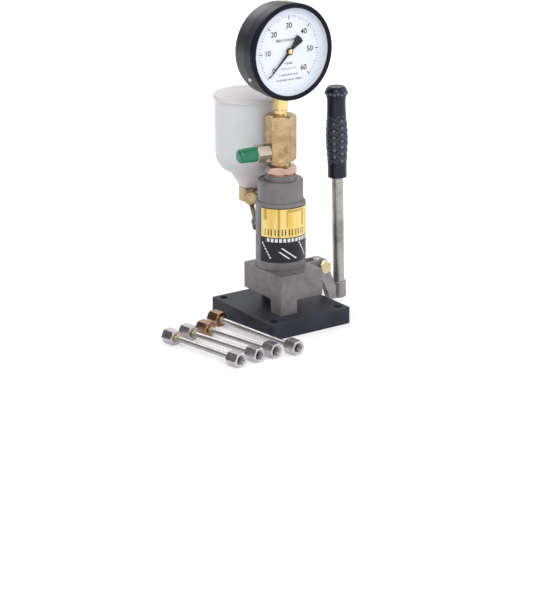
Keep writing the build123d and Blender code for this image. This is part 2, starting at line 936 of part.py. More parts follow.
with BuildPart() as valve_spring:
    with BuildLine() as valve_spring_line:
        valve_spring_start = coil_path(
            valve_spring_mean_radius, valve_spring_wire_radius, valve_head_top, chamber_top, valve_spring_turns
        )
    with BuildSketch(valve_spring_start):
        Circle(valve_spring_wire_radius)
    sweep(path=valve_spring_line.wires()[0])
finish(valve_spring.part, "valve_spring")

# Copper washer and lock nut on the column cap
with BuildPart() as copper_washer:
    turned(
        [
            (stub_radius, washer_bottom),
            (washer_radius, washer_bottom),
            (washer_radius, lock_nut_bottom),
            (stub_radius, lock_nut_bottom),
        ]
    )
finish(copper_washer.part, "copper_washer")

with BuildPart() as lock_nut:
    nut_side = level_direction(lock_nut_turn)
    hexagon(lock_nut_flats, lock_nut_bottom, lock_nut_top, side=nut_side)
    hex_chamfer(lock_nut_flats, lock_nut_bottom, lock_nut_top, side=nut_side)
    bored(stub_radius, lock_nut_bottom - overrun, lock_nut_top + overrun)
finish(lock_nut.part, "lock_nut")

# Brass manifold: a long hexagon with the valve chamber below, the gauge above, the outlet at its side
outlet_way = level_direction(outlet_turn)
outlet_frame = ((0, 0, outlet_z), outlet_way, (0, 0, 1))
with BuildPart() as brass_manifold:
    manifold_side = level_direction(manifold_turn)
    hexagon(manifold_flats, manifold_bottom, manifold_top, side=manifold_side)
    hex_chamfer(manifold_flats, manifold_bottom, manifold_top, side=manifold_side)
    turned(
        [
            (0, stub_bottom),
            (stub_radius, stub_bottom),
            (stub_radius, lock_nut_top),
            (neck_radius, lock_nut_top),
            (neck_radius, manifold_bottom + overrun),
            (0, manifold_bottom + overrun),
        ]
    )
    bored(valve_chamber_radius, stub_bottom - overrun, chamber_top)
    bored(channel_radius, stub_bottom, manifold_top)
    bored(gauge_thread_radius, manifold_top - gauge_thread_length, manifold_top + overrun)
    bored(channel_radius, 0, nipple_start, *outlet_frame)
    bored(union_thread_radius, nipple_start - nipple_stub_length, nipple_start + overrun, *outlet_frame)
finish(brass_manifold.part, "brass_manifold")

# Outlet nipple with a male thread and a conical seat
cone_depth = union_thread_radius - channel_radius - bevel
with BuildPart() as outlet_nipple:
    hexagon(nipple_flats, nipple_start, nipple_thread_start, *outlet_frame)
    hex_chamfer(nipple_flats, nipple_start, nipple_thread_start, *outlet_frame)
    turned(
        [
            (channel_radius, nipple_start - nipple_stub_length),
            (union_thread_radius, nipple_start - nipple_stub_length),
            (union_thread_radius, nipple_end - bevel),
            (union_thread_radius - bevel, nipple_end),
            (channel_radius, nipple_end - cone_depth),
        ],
        *outlet_frame,
    )
    bored(channel_radius, nipple_start - overrun, nipple_end, *outlet_frame)
finish(outlet_nipple.part, "outlet_nipple")

# Soft plastic dust cap pushed over the nipple's thread
cap_start = nipple_thread_start + clearance
cap_end = cap_start + dust_cap_length
cap_bore_radius = union_thread_radius + clearance
with BuildPart() as dust_cap:
    turned(
        [
            (cap_bore_radius, cap_start),
            (dust_cap_radius, cap_start),
            (dust_cap_end_radius, cap_end - dust_cap_end_round),
            (dust_cap_end_radius - dust_cap_end_round / 4, cap_end - dust_cap_end_round / 3),
            (dust_cap_end_radius - dust_cap_end_round, cap_end),
            (0, cap_end),
            (0, cap_start + dust_cap_bore_depth),
            (cap_bore_radius, cap_start + dust_cap_bore_depth),
        ],
        *outlet_frame,
    )
finish(dust_cap.part, "dust_cap")

# Gauge frame of reference: heights run forward along -Y from the column axis
gauge_origin = (0, 0, gauge_z)
gauge_way = (0, -1, 0)
gauge_frame = (gauge_origin, gauge_way, (1, 0, 0))
gauge_plane = Plane(origin=gauge_origin, x_dir=(1, 0, 0), z_dir=gauge_way)

# Copper washer under the gauge's collar
with BuildPart() as gauge_washer:
    turned(
        [
            (gauge_thread_radius, manifold_top),
            (gauge_washer_radius, manifold_top),
            (gauge_washer_radius, socket_bottom),
            (gauge_thread_radius, socket_bottom),
        ]
    )
finish(gauge_washer.part, "gauge_washer")


def dial_vector(angle):
    """Unit vector in the dial's plane, counted anticlockwise from +X as seen from the front."""
    return Vector(math.cos(math.radians(angle)), 0, math.sin(math.radians(angle)))


def tube_stretch(outer, start, sweep_angle, mode=Mode.ADD):
    """Revolve the flat tube's section about the gauge axis over a stretch of its circle."""
    radial = dial_vector(start)
    section = Plane(origin=gauge_origin, x_dir=radial, z_dir=radial.cross(Vector(*gauge_way)))
    shrink = 0 if outer else tube_wall
    with BuildSketch(section) as outline:
        with Locations((tube_path_radius, 0)):
            SlotOverall(tube_width - 2 * shrink, tube_depth - 2 * shrink, rotation=90)
    revolve(outline.sketch, axis=Axis(gauge_origin, gauge_way), revolution_arc=sweep_angle, mode=mode)


# Gauge socket: thread, collar, square, and the block inside the case that holds the tube
block_top_rise = square_bottom + (gauge_z - case_radius - square_bottom) + socket_block_height
tube_sweep = tube_root_angle - tube_tip_angle
with BuildPart() as gauge_socket:
    turned(
        [
            (0, manifold_top - gauge_thread_length + overrun),
            (gauge_thread_radius, manifold_top - gauge_thread_length + overrun),
            (gauge_thread_radius, socket_bottom),
            (collar_radius, socket_bottom),
            (collar_radius, square_bottom),
            (0, square_bottom),
        ]
    )
    with BuildSketch(Plane.XY.offset(square_bottom)):
        Rectangle(square_flats, square_flats)
    extrude(amount=gauge_z - case_radius + case_wall * 2 - square_bottom)
    block_low = gauge_z - case_radius + case_wall * 2
    block_middle_y = (socket_block_back - socket_block_front) / 2
    with BuildSketch(Plane.XY.offset(block_low)):
        with Locations((0, block_middle_y)):
            Rectangle(socket_block_width, socket_block_front + socket_block_back)
    extrude(amount=block_top_rise - block_low)
    bored(channel_radius, 0, gauge_z - tube_path_radius)
    tube_stretch(True, tube_root_angle - tip_block_angle * 2, tip_block_angle * 2, mode=Mode.SUBTRACT)
finish(gauge_socket.part, "gauge_socket")

# Bourdon tube: a flat hollow tube bent round the gauge, closed by a tip block with the link's pin
link_pin_front = link_top + clearance
with BuildPart() as bourdon_tube:
    tube_stretch(True, tube_tip_angle, tube_sweep)
    tube_stretch(False, tube_tip_angle + tip_block_angle, tube_sweep - tip_block_angle, mode=Mode.SUBTRACT)
    tip_place = Vector(*gauge_origin) + dial_vector(tube_tip_angle + tip_block_angle / 2) * tube_path_radius
    turned(
        [(0, 0), (link_pin_radius, 0), (link_pin_radius, link_pin_front), (0, link_pin_front)],
        tip_place,
        gauge_way,
    )
finish(bourdon_tube.part, "bourdon_tube")

# Movement frame: two plates on pillars, screwed to the socket block
plate_bottom = -(case_radius - case_wall * 2 - socket_block_height / 2)
plate_height = plate_above - plate_bottom
plate_centre = (0, plate_bottom + plate_height / 2)
pillar_x = plate_width / 2 - pillar_inset
sector_pivot = (0, -sector_pivot_drop)
with BuildPart() as movement_frame:
    for plate_low in (back_plate_height, front_plate_height):
        with BuildSketch(gauge_plane.offset(plate_low)):
            with Locations(plate_centre):
                RectangleRounded(plate_width, plate_height, pillar_inset)
        extrude(amount=plate_thickness)
    with BuildSketch(gauge_plane.offset(back_plate_height + plate_thickness)):
        for pillar_y in (plate_above - pillar_inset, plate_bottom + pillar_inset):
            with Locations((-pillar_x, pillar_y), (pillar_x, pillar_y)):
                Circle(pillar_radius)
    extrude(amount=front_plate_height - back_plate_height - plate_thickness)
    with BuildSketch(gauge_plane):
        with Locations((0, 0), sector_pivot):
            Circle(arbor_radius + running_fit)
    extrude(amount=front_plate_height + plate_thickness + overrun, mode=Mode.SUBTRACT)
finish(movement_frame.part, "movement_frame")


def toothed_points(radius, first_angle, tooth_count, pitch_angle):
    """Outline points of a row of low teeth on a pitch circle."""
    half = pitch_angle * tooth_half_share
    points = []
    for tooth in range(tooth_count):
        middle = first_angle + tooth * pitch_angle
        points.append((radius - tooth_root, middle - half * 1.3))
        points.append((radius + tooth_tip, middle - half * 0.7))
        points.append((radius + tooth_tip, middle + half * 0.7))
        points.append((radius - tooth_root, middle + half * 1.3))
    return [(r * math.cos(math.radians(a)), r * math.sin(math.radians(a))) for r, a in points]


# Pointer arbor with its pinion and a brass cap at the front
arbor_front = pointer_front + arbor_cap_height / 2
with BuildPart() as pointer_arbor:
    with BuildSketch(gauge_plane.offset(gear_bottom)):
        with BuildLine():
            pinion_teeth = round(360 / tooth_pitch_angle)
            Polyline(*toothed_points(pinion_radius, tooth_pitch_angle, pinion_teeth, tooth_pitch_angle), close=True)
        make_face()
    extrude(amount=gear_thickness)
    turned(
        [
            (0, back_plate_height + clearance),
            (arbor_radius, back_plate_height + clearance),
            (arbor_radius, arbor_front),
            (arbor_cap_radius, arbor_front),
            (arbor_cap_radius, arbor_front + arbor_cap_height - bevel / 2),
            (arbor_cap_radius - bevel, arbor_front + arbor_cap_height),
            (0, arbor_front + arbor_cap_height),
        ],
        *gauge_frame,
    )
finish(pointer_arbor.part, "pointer_arbor")

# Sector gear: toothed rim on an arm, a tail with the link's pin, on its own arbor
sector_pitch = tooth_pitch_angle / gear_ratio
sector_teeth = round(sector_spread / sector_pitch)
sector_first = sector_rest_angle + sector_pitch / 2 + sector_pitch - sector_teeth * sector_pitch
sector_last = sector_first + (sector_teeth - 1) * sector_pitch
sector_middle = (sector_first + sector_last) / 2
sector_plane = Plane(origin=(0, 0, gauge_z - sector_pivot_drop), x_dir=(1, 0, 0), z_dir=gauge_way)
tail_end = (
    tail_radius * math.cos(math.radians(tail_angle)),
    tail_radius * math.sin(math.radians(tail_angle)),
)
with BuildPart() as sector_gear:
    with BuildSketch(sector_plane.offset(gear_bottom)):
        rim_inner = sector_radius - tooth_root - sector_rim
        rim_ends = [sector_last + sector_pitch / 2, sector_first - sector_pitch / 2]
        with BuildLine():
            outer_points = toothed_points(sector_radius, sector_first, sector_teeth, sector_pitch)
            inner_points = [
                (rim_inner * math.cos(math.radians(a)), rim_inner * math.sin(math.radians(a)))
                for a in (rim_ends[0], sector_middle, rim_ends[1])
            ]
            Polyline(inner_points[2], *outer_points, inner_points[0])
            ThreePointArc(*inner_points)
        make_face()
        Circle(sector_hub_radius)
        with Locations(Location((0, 0), sector_middle)):
            with Locations(((rim_inner + bevel) / 2, 0)):
                Rectangle(rim_inner + bevel, 2 * sector_arm_half)
        with Locations(Location((0, 0), tail_angle)):
            with Locations((tail_radius / 2, 0)):
                Rectangle(tail_radius, 2 * tail_half)
        with Locations(tail_end):
            Circle(tail_half)
    extrude(amount=gear_thickness)
    with BuildSketch(sector_plane.offset(gear_bottom)):
        with Locations(tail_end):
            Circle(link_pin_radius)
    extrude(amount=link_pin_front - gear_bottom)
    with BuildSketch(sector_plane.offset(back_plate_height + clearance)):
        Circle(arbor_radius)
    extrude(amount=front_plate_height + plate_thickness - back_plate_height - clearance)
finish(sector_gear.part, "sector_gear")

# Link from the tube's tip to the sector's tail; its far eye is wide, because the linkage is open there
tip_local = dial_vector(tube_tip_angle + tip_block_angle / 2) * tube_path_radius
tip_flat = Vector(tip_local.X, tip_local.Z + sector_pivot_drop)
tail_flat = Vector(*tail_end)
link_way = tail_flat - tip_flat
link_turn = math.degrees(math.atan2(link_way.Y, link_way.X)) + link_eye_lift
link_length = link_way.length - link_eye_short
with BuildPart() as gauge_link:
    with BuildSketch(sector_plane.offset(link_bottom)):
        with Locations(Location((tip_flat.X, tip_flat.Y), link_turn)):
            with Locations((link_length / 2, 0)):
                Rectangle(link_length, 2 * link_half)
            with Locations((link_length, 0)):
                Circle(link_eye_radius)
                Circle(link_eye_bore_radius, mode=Mode.SUBTRACT)
        with Locations((tip_flat.X, tip_flat.Y)):
            Circle(link_half * 1.5)
        with Locations((tip_flat.X, tip_flat.Y)):
            Circle(link_pin_radius + running_fit, mode=Mode.SUBTRACT)
    extrude(amount=link_thickness)
finish(gauge_link.part, "gauge_link")

# Gauge case: a drum with a dial ledge, open at the front
case_bore_radius = case_radius - case_wall
with BuildPart() as gauge_case:
    turned(
        [
            (0, case_back),
            (case_radius - case_back_round, case_back),
            (case_radius - case_back_round / 4, case_back + case_back_round / 4),
            (case_radius, case_back + case_back_round),
            (case_radius, case_front),
            (case_bore_radius, case_front),
            (case_bore_radius, ledge_height + ledge_thickness),
            (ledge_radius, ledge_height + ledge_thickness),
            (ledge_radius, ledge_height),
            (case_bore_radius, ledge_height),
            (case_bore_radius, case_back + case_wall),
            (0, case_back + case_wall),
        ],
        *gauge_frame,
    )
    with BuildSketch(Plane.XY.offset(square_bottom + overrun)):
        Rectangle(square_flats, square_flats)
    extrude(amount=block_low - square_bottom - overrun, mode=Mode.SUBTRACT)
    with BuildSketch(gauge_plane.offset(case_back - overrun)):
        with Locations((0, -relief_plug_drop)):
            Circle(relief_plug_radius)
    extrude(amount=case_wall + 2 * overrun, mode=Mode.SUBTRACT)
    for screw_angle in bezel_screw_angles:
        bored(
            bezel_screw_radius,
            0,
            case_radius + overrun,
            (0, -bezel_screw_height, gauge_z),
            dial_vector(screw_angle),
            gauge_way,
        )
finish(gauge_case.part, "gauge_case")

# Rubber plug that blows out of the case's back if the tube bursts
with BuildPart() as relief_plug:
    with BuildSketch(gauge_plane.offset(case_back - relief_flange_height)):
        with Locations((0, -relief_plug_drop)):
            Circle(relief_flange_radius)
    extrude(amount=relief_flange_height)
    chamfer(relief_plug.faces().sort_by(Axis.Y)[-1].edges(), bevel)
    with BuildSketch(gauge_plane.offset(case_back)):
        with Locations((0, -relief_plug_drop)):
            Circle(relief_plug_radius)
    extrude(amount=case_wall + bevel)
finish(relief_plug.part, "relief_plug")

# Bezel ring over the case, with its three side screws
lip_back = bezel_front - bezel_lip_thickness
with BuildPart() as gauge_bezel:
    turned(
        [
            (case_radius, bezel_back),
            (bezel_radius - bevel / 2, bezel_back),
            (bezel_radius, bezel_back + bevel / 2),
            (bezel_radius, bezel_front - bezel_bevel),
            (bezel_radius - bezel_bevel / 3, bezel_front - bezel_bevel / 3),
            (bezel_radius - bezel_bevel, bezel_front),
            (bezel_lip_radius + bezel_bevel, bezel_front),
            (bezel_lip_radius, glass_front + bevel / 2),
            (bezel_lip_radius, glass_front),
            (case_radius, glass_front),
        ],
        *gauge_frame,
    )
    for screw_angle in bezel_screw_angles:
        bored(
            bezel_screw_radius,
            0,
            bezel_radius + overrun,
            (0, -bezel_screw_height, gauge_z),
            dial_vector(screw_angle),
            gauge_way,
        )
finish(gauge_bezel.part, "gauge_bezel")

with BuildPart() as bezel_screws:
    for screw_angle in bezel_screw_angles:
        turned(
            [
                (0, case_bore_radius - bezel_screw_inner),
                (bezel_screw_radius, case_bore_radius - bezel_screw_inner),
                (bezel_screw_radius, bezel_radius),
                (bezel_screw_head_radius, bezel_radius),
                (bezel_screw_head_radius, bezel_radius + bezel_screw_head_height / 2),
                (bezel_screw_head_radius - bevel, bezel_radius + bezel_screw_head_height),
                (0, bezel_radius + bezel_screw_head_height),
            ],
            (0, -bezel_screw_height, gauge_z),
            dial_vector(screw_angle),
            gauge_way,
        )
finish(bezel_screws.part, "bezel_screws")

# Gasket on the case's rim, its sleeve down to the dial, and the glass on it
with BuildPart() as glass_gasket:
    turned(
        [
            (gasket_inner_radius, gasket_foot),
            (gasket_sleeve_radius, gasket_foot),
            (gasket_sleeve_radius, case_front),
            (case_radius, case_front),
            (case_radius, glass_back),
            (gasket_inner_radius, glass_back),
        ],
        *gauge_frame,
    )
finish(glass_gasket.part, "glass_gasket")

with BuildPart() as gauge_glass:
    with BuildSketch(gauge_plane.offset(glass_back)):
        Circle(case_radius)
    extrude(amount=glass_thickness)
finish(gauge_glass.part, "gauge_glass")

# Dial plate on its ledge
with BuildPart() as gauge_dial:
    with BuildSketch(gauge_plane.offset(dial_back)):
        Circle(dial_radius)
        Circle(arbor_radius + clearance, mode=Mode.SUBTRACT)
    extrude(amount=dial_thickness)
finish(gauge_dial.part, "gauge_dial")

# Pointer at zero, down to the left, with a wedge tail
zero_angle = 225.0
pointer_plane = Plane(
    origin=Vector(*gauge_origin) + Vector(*gauge_way) * pointer_back,
    x_dir=dial_vector(zero_angle),
    z_dir=gauge_way,
)
with BuildPart() as gauge_pointer:
    with BuildSketch(pointer_plane):
        with BuildLine():
            Polyline(
                (0, -pointer_root_half),
                (pointer_reach - pointer_tip_half, -pointer_tip_half),
                (pointer_reach, 0),
                (pointer_reach - pointer_tip_half, pointer_tip_half),
                (0, pointer_root_half),
                (-pointer_tail * pointer_neck_share, pointer_root_half),
                (-pointer_tail * pointer_wide_share, pointer_tail_half),
                (-pointer_tail, pointer_root_half),
                (-pointer_tail, -pointer_root_half),
                (-pointer_tail * pointer_wide_share, -pointer_tail_half),
                (-pointer_tail * pointer_neck_share, -pointer_root_half),
                close=True,
            )
        make_face()
        Circle(pointer_boss_radius)
        Circle(arbor_radius, mode=Mode.SUBTRACT)
    extrude(amount=pointer_thickness)
    with BuildSketch(gauge_plane.offset(pointer_front)):
        Circle(pointer_boss_radius)
        Circle(arbor_radius, mode=Mode.SUBTRACT)
    extrude(amount=arbor_front - pointer_front)
finish(gauge_pointer.part, "gauge_pointer")

# Oil cup: thin wall, rounded bottom, conical neck and threaded spigot
cup_frame = (cup_x, cup_y, 0)
cup_inside = cup_radius - cup_wall
inner_shoulder = (cup_shoulder_radius - cup_wall / 2, cup_shoulder_z + cup_wall * 0.8)
with BuildPart() as oil_cup:
    with BuildSketch(Plane(origin=cup_frame, x_dir=(1, 0, 0), z_dir=(0, -1, 0))):
        with BuildLine():
            Polyline(
                inner_shoulder,
                (cup_drain_radius, cup_neck_bottom + cup_wall),
                (cup_drain_radius, cup_neck_bottom - cup_spigot_length),
                (cup_spigot_radius, cup_neck_bottom - cup_spigot_length),
                (cup_spigot_radius, cup_neck_bottom),
                (cup_neck_radius, cup_neck_bottom),
                (cup_shoulder_radius, cup_shoulder_z),
            )
            ThreePointArc(
                (cup_shoulder_radius, cup_shoulder_z),
                (cup_round_radius, cup_round_z),
                (cup_radius, cup_round_top),
            )
            Polyline(
                (cup_radius, cup_round_top),
                (cup_radius, cup_top),
                (cup_inside, cup_top),
                (cup_inside, cup_round_top),
            )
            ThreePointArc(
                (cup_inside, cup_round_top),
                (cup_round_radius - cup_wall * 0.8, cup_round_z + cup_wall * 0.6),
                inner_shoulder,
            )
        make_face()
    revolve(axis=Axis(cup_frame, (0, 0, 1)))
finish(oil_cup.part, "oil_cup")

# Strainer plate over the cup's neck
strainer_low = inner_shoulder[1] + 3 * clearance
with BuildPart() as cup_strainer:
    with BuildSketch(Plane((cup_x, cup_y, strainer_low))):
        Circle(strainer_radius + strainer_rim)
        for ring in range(1, strainer_rings + 1):
            with PolarLocations(strainer_radius * ring / (strainer_rings + 1), 6 * ring):
                Circle(strainer_hole_radius, mode=Mode.SUBTRACT)
    extrude(amount=strainer_thickness)
finish(cup_strainer.part, "cup_strainer")

# Lid: a crowned plate with a skirt over the cup's rim
lid_bore_radius = cup_radius + clearance
lid_edge_top = cup_top + lid_plate_edge
lid_crown_radius = lid_radius * lid_crown_radius_share
with BuildPart() as cup_lid:
    turned(
        [
            (0, cup_top),
            (lid_bore_radius, cup_top),
            (lid_bore_radius, cup_top - lid_skirt),
            (lid_radius, cup_top - lid_skirt),
            (lid_radius, lid_edge_top),
            (lid_crown_radius, cup_top + lid_crown),
            (0, cup_top + lid_crown),
        ],
        cup_frame,
    )
    fillet(cup_lid.faces().sort_by(Axis.Z)[-1].edges(), lid_plate_edge)
finish(cup_lid.part, "cup_lid")

# Brass fitting that carries the cup, and the banjo joint on its face
banjo_frame = ((cup_x, cup_y, banjo_z), banjo_way, (0, 0, 1))
fitting_face = fitting_flats / 2
with BuildPart() as cup_fitting:
    hexagon(fitting_flats, fitting_bottom, cup_neck_bottom, cup_frame, side=banjo_way)
    hex_chamfer(fitting_flats, fitting_bottom, cup_neck_bottom, cup_frame, side=banjo_way)
    bored(cup_spigot_radius, cup_neck_bottom - cup_spigot_length, cup_neck_bottom + overrun, cup_frame)
    bored(banjo_thread_radius, fitting_face - banjo_thread_depth, fitting_face + overrun, *banjo_frame)
    bored(feed_pipe_bore_radius, banjo_z, cup_neck_bottom, cup_frame)
    bored(feed_pipe_bore_radius, 0, fitting_face, *banjo_frame)
finish(cup_fitting.part, "cup_fitting")

eye_far = eye_near + eye_thickness
head_near = eye_far + seal_washer_thickness
head_far = head_near + banjo_head_height
with BuildPart() as banjo_bolt:
    hexagon(banjo_head_flats, head_near, head_far, *banjo_frame)
    hex_chamfer(banjo_head_flats, head_near, head_far, *banjo_frame)
    turned(
        [
            (feed_pipe_bore_radius, fitting_face - banjo_thread_depth),
            (banjo_thread_radius, fitting_face - banjo_thread_depth),
            (banjo_thread_radius, head_near + bevel),
            (0, head_near + bevel),
            (0, eye_far),
            (feed_pipe_bore_radius, eye_far),
        ],
        *banjo_frame,
    )
finish(banjo_bolt.part, "banjo_bolt")

with BuildPart() as banjo_washers:
    for washer_near in (fitting_face, eye_far):
        turned(
            [
                (banjo_thread_radius, washer_near),
                (seal_washer_radius, washer_near),
                (seal_washer_radius, washer_near + seal_washer_thickness),
                (banjo_thread_radius, washer_near + seal_washer_thickness),
            ],
            *banjo_frame,
        )
finish(banjo_washers.part, "banjo_washers")

# Feed pipe: an eye round the bolt, brazed to a straight tube that ends in the column's boss
with BuildPart() as feed_pipe:
    turned([(0, 0), (feed_pipe_radius, 0), (feed_pipe_radius, feed_seat), (0, feed_seat)], *feed_frame)
    with Locations(feed_start):
        Sphere(feed_pipe_radius)
    turned([(0, eye_near), (eye_radius, eye_near), (eye_radius, eye_far), (0, eye_far)], *banjo_frame)
    eye_bore_radius = banjo_thread_radius + clearance
    bored(feed_pipe_bore_radius, 2 * (eye_bore_radius - eye_radius), feed_seat + overrun, *feed_frame)
    bored(eye_bore_radius, eye_near - overrun, eye_far + overrun, *banjo_frame)
finish(feed_pipe.part, "feed_pipe")

# Adapter pipes on the bench, each with a coned end and a union nut at both ends
for number, (place, heading, length) in enumerate(zip(pipe_places, pipe_headings, pipe_lengths), 1):
    pipe_way = level_direction(heading)
    nut_side = pipe_way.cross(Vector(0, 0, 1))
    pipe_origin = Vector(-base_width / 2 - place[0], place[1], union_nut_rest)
    pipe_frame = (pipe_origin, pipe_way, nut_side)
    half_nut = union_nut_length / 2
    far_end = half_nut - union_nut_back - clearance - bevel - pipe_cone_length
    near_end = length - far_end
    with BuildPart() as pipe:
        turned(
            [
                (0, far_end),
                (pipe_bore_radius + bevel, far_end),
                (pipe_cone_radius, far_end + pipe_cone_length),
                (pipe_cone_radius, far_end + pipe_cone_length + bevel),
                (pipe_radius, far_end + pipe_cone_length + bevel),
                (pipe_radius, half_nut + bevel),
                (pipe_collar_radius, half_nut + bevel),
                (pipe_collar_radius, half_nut + bevel + pipe_collar_length),
                (pipe_radius, half_nut + bevel + pipe_collar_length),
                (pipe_radius, near_end - pipe_cone_length - bevel),
                (pipe_cone_radius, near_end - pipe_cone_length - bevel),
                (pipe_cone_radius, near_end - pipe_cone_length),
                (pipe_bore_radius + bevel, near_end),
                (0, near_end),
            ],
            *pipe_frame,
        )
        bored(pipe_bore_radius, far_end - overrun, near_end + overrun, *pipe_frame)
    finish(pipe.part, f"adapter_pipe_{number}")
    for nut_name, nut_low, outward in (("far", -half_nut, -1), ("near", length - half_nut, 1)):
        nut_high = nut_low + union_nut_length
        mouth = nut_high if outward > 0 else nut_low
        neck = nut_low if outward > 0 else nut_high
        step = mouth - outward * (union_nut_length - union_nut_back)
        with BuildPart() as union_nut:
            hexagon(union_nut_flats, nut_low, nut_high, pipe_origin, pipe_way, Vector(0, 0, 1))
            hex_chamfer(union_nut_flats, nut_low, nut_high, pipe_origin, pipe_way, Vector(0, 0, 1))
            turned(
                [
                    (0, neck - outward * overrun),
                    (pipe_radius + clearance, neck - outward * overrun),
                    (pipe_radius + clearance, step),
                    (union_nut_bore_radius, step),
                    (union_nut_bore_radius, mouth - outward * bevel),
                    (union_nut_bore_radius + bevel * 1.5, mouth + outward * bevel / 2),
                    (0, mouth + outward * bevel / 2),
                ],
                *pipe_frame,
                mode=Mode.SUBTRACT,
            )
        finish(union_nut.part, f"{nut_name}_nut_{number}")
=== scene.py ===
"""Looks of a bench tester for diesel injector nozzles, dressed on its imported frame."""
import json
import logging
import math
from dataclasses import dataclass
from enum import Enum
from functools import partialmethod
from typing import Any, Iterable

import bpy
from bpy.types import Material, Mesh, NodeSocket, NodeTree, Object
from mathutils import Matrix, Vector


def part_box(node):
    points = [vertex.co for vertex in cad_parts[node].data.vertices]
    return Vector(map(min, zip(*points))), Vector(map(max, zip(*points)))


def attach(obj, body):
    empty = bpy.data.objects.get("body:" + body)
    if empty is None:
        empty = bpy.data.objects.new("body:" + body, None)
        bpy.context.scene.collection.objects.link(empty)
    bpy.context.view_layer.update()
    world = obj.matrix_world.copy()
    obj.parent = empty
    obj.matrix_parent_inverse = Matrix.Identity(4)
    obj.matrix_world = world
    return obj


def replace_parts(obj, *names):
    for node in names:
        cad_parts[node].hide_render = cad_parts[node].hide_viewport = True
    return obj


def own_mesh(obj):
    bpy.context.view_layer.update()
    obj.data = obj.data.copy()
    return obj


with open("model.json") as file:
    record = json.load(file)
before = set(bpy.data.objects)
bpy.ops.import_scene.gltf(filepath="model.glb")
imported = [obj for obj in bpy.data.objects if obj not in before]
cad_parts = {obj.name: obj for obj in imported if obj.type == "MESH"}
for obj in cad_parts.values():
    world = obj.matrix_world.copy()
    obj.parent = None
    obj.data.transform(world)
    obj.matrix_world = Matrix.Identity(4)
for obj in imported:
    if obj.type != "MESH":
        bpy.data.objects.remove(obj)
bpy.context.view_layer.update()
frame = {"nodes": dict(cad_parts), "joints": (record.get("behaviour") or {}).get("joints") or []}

LOG = logging.getLogger("tester")
Colour = tuple[float, float, float]
Place = tuple[float, float, float]
Span = tuple[float, float]


# node wrappers


def plug(tree: NodeTree, socket: NodeSocket, value: Any) -> None:
    """Link or set one input socket.

    Args:
        tree: The tree that holds the socket.
        socket: The input.
        value: A Value, or a plain number, colour or vector.
    """
    if isinstance(value, Value):
        tree.links.new(value.socket, socket)
    elif socket.type == "RGBA" and len(value) == 3:
        socket.default_value = (*value, 1.0)
    else:
        socket.default_value = value


def add_node(tree: NodeTree, kind: str, links: dict[Any, Any] | None = None,
             settings: dict[str, Any] | None = None, output: int | str = 0) -> "Value":
    """Add a node to a tree.

    Args:
        tree: The tree.
        kind: The node's type.
        links: Its inputs by name or number.
        settings: Its own settings.
        output: Which output is handed back.

    Returns:
        That output.
    """
    made = tree.nodes.new(kind)
    for name, value in (settings or {}).items():
        setattr(made, name, value)
    for name, value in (links or {}).items():
        plug(tree, made.inputs[name], value)
    return Value(tree, made.outputs[output])


@dataclass(frozen=True, eq=False)
class Value:
    """An output socket that takes part in Python sums."""

    tree: NodeTree
    socket: NodeSocket

    def maths(self, operation: str, *others: Any, clamp: bool = False) -> "Value":
        """Add one Math node for this value and the others, clamped to 0 to 1 if asked."""
        settings = {"operation": operation, "use_clamp": clamp}
        return add_node(self.tree, "ShaderNodeMath", dict(enumerate((self, *others))), settings)

    __add__ = __radd__ = partialmethod(maths, "ADD")
    __sub__ = partialmethod(maths, "SUBTRACT")
    __mul__ = __rmul__ = partialmethod(maths, "MULTIPLY")
    __truediv__ = partialmethod(maths, "DIVIDE")
    __mod__ = partialmethod(maths, "FLOORED_MODULO")
    __gt__ = partialmethod(maths, "GREATER_THAN")
    __lt__ = partialmethod(maths, "LESS_THAN")
    cos = partialmethod(maths, "COSINE")
    sin = partialmethod(maths, "SINE")
    arctan2 = partialmethod(maths, "ARCTAN2")
    floor = partialmethod(maths, "FLOOR")
    size = partialmethod(maths, "ABSOLUTE")
    clamp = partialmethod(maths, "ADD", 0.0, clamp=True)

    def __neg__(self) -> "Value":
        """-self"""
        return self * -1.0

    def __rsub__(self, other: Any) -> "Value":
        """other - self"""
        return -self + other

    def within(self, span: Span) -> "Value":
        """1 between two limits."""
        return (self > span[0]) * (self < span[1])

    def ramp(self, low: float, high: float) -> "Value":
        """A smooth step from 0 at low to 1 at high."""
        links = {"Value": self, "From Min": low, "From Max": high}
        return add_node(self.tree, "ShaderNodeMapRange", links, {"interpolation_type": "SMOOTHSTEP"})


class NodeBench:
    """What shader trees and geometry trees have in common: one way to add a node."""

    tree: NodeTree

    def node(self, kind: str, *details: Any, **more: Any) -> Value:
        """Add a node to this tree, with the rest of add_node's arguments."""
        return add_node(self.tree, kind, *details, **more)

    def vector_maths(self, operation: str, first: Any, second: Any = None, output: str = "Vector") -> Value:
        """Add one Vector Math node of one or two terms."""
        links = {0: first} if second is None else {0: first, 1: second}
        return self.node("ShaderNodeVectorMath", links, {"operation": operation}, output)

    def seen(self) -> Value:
        """1 for the rays by which the background is seen: the camera's, gloss's and glass's."""
        path = self.tree.nodes.new("ShaderNodeLightPath")
        kinds = ("Camera", "Glossy", "Transmission")
        rays = [Value(self.tree, path.outputs[f"Is {kind} Ray"]) for kind in kinds]
        return (rays[0] + rays[1] + rays[2]).clamp()


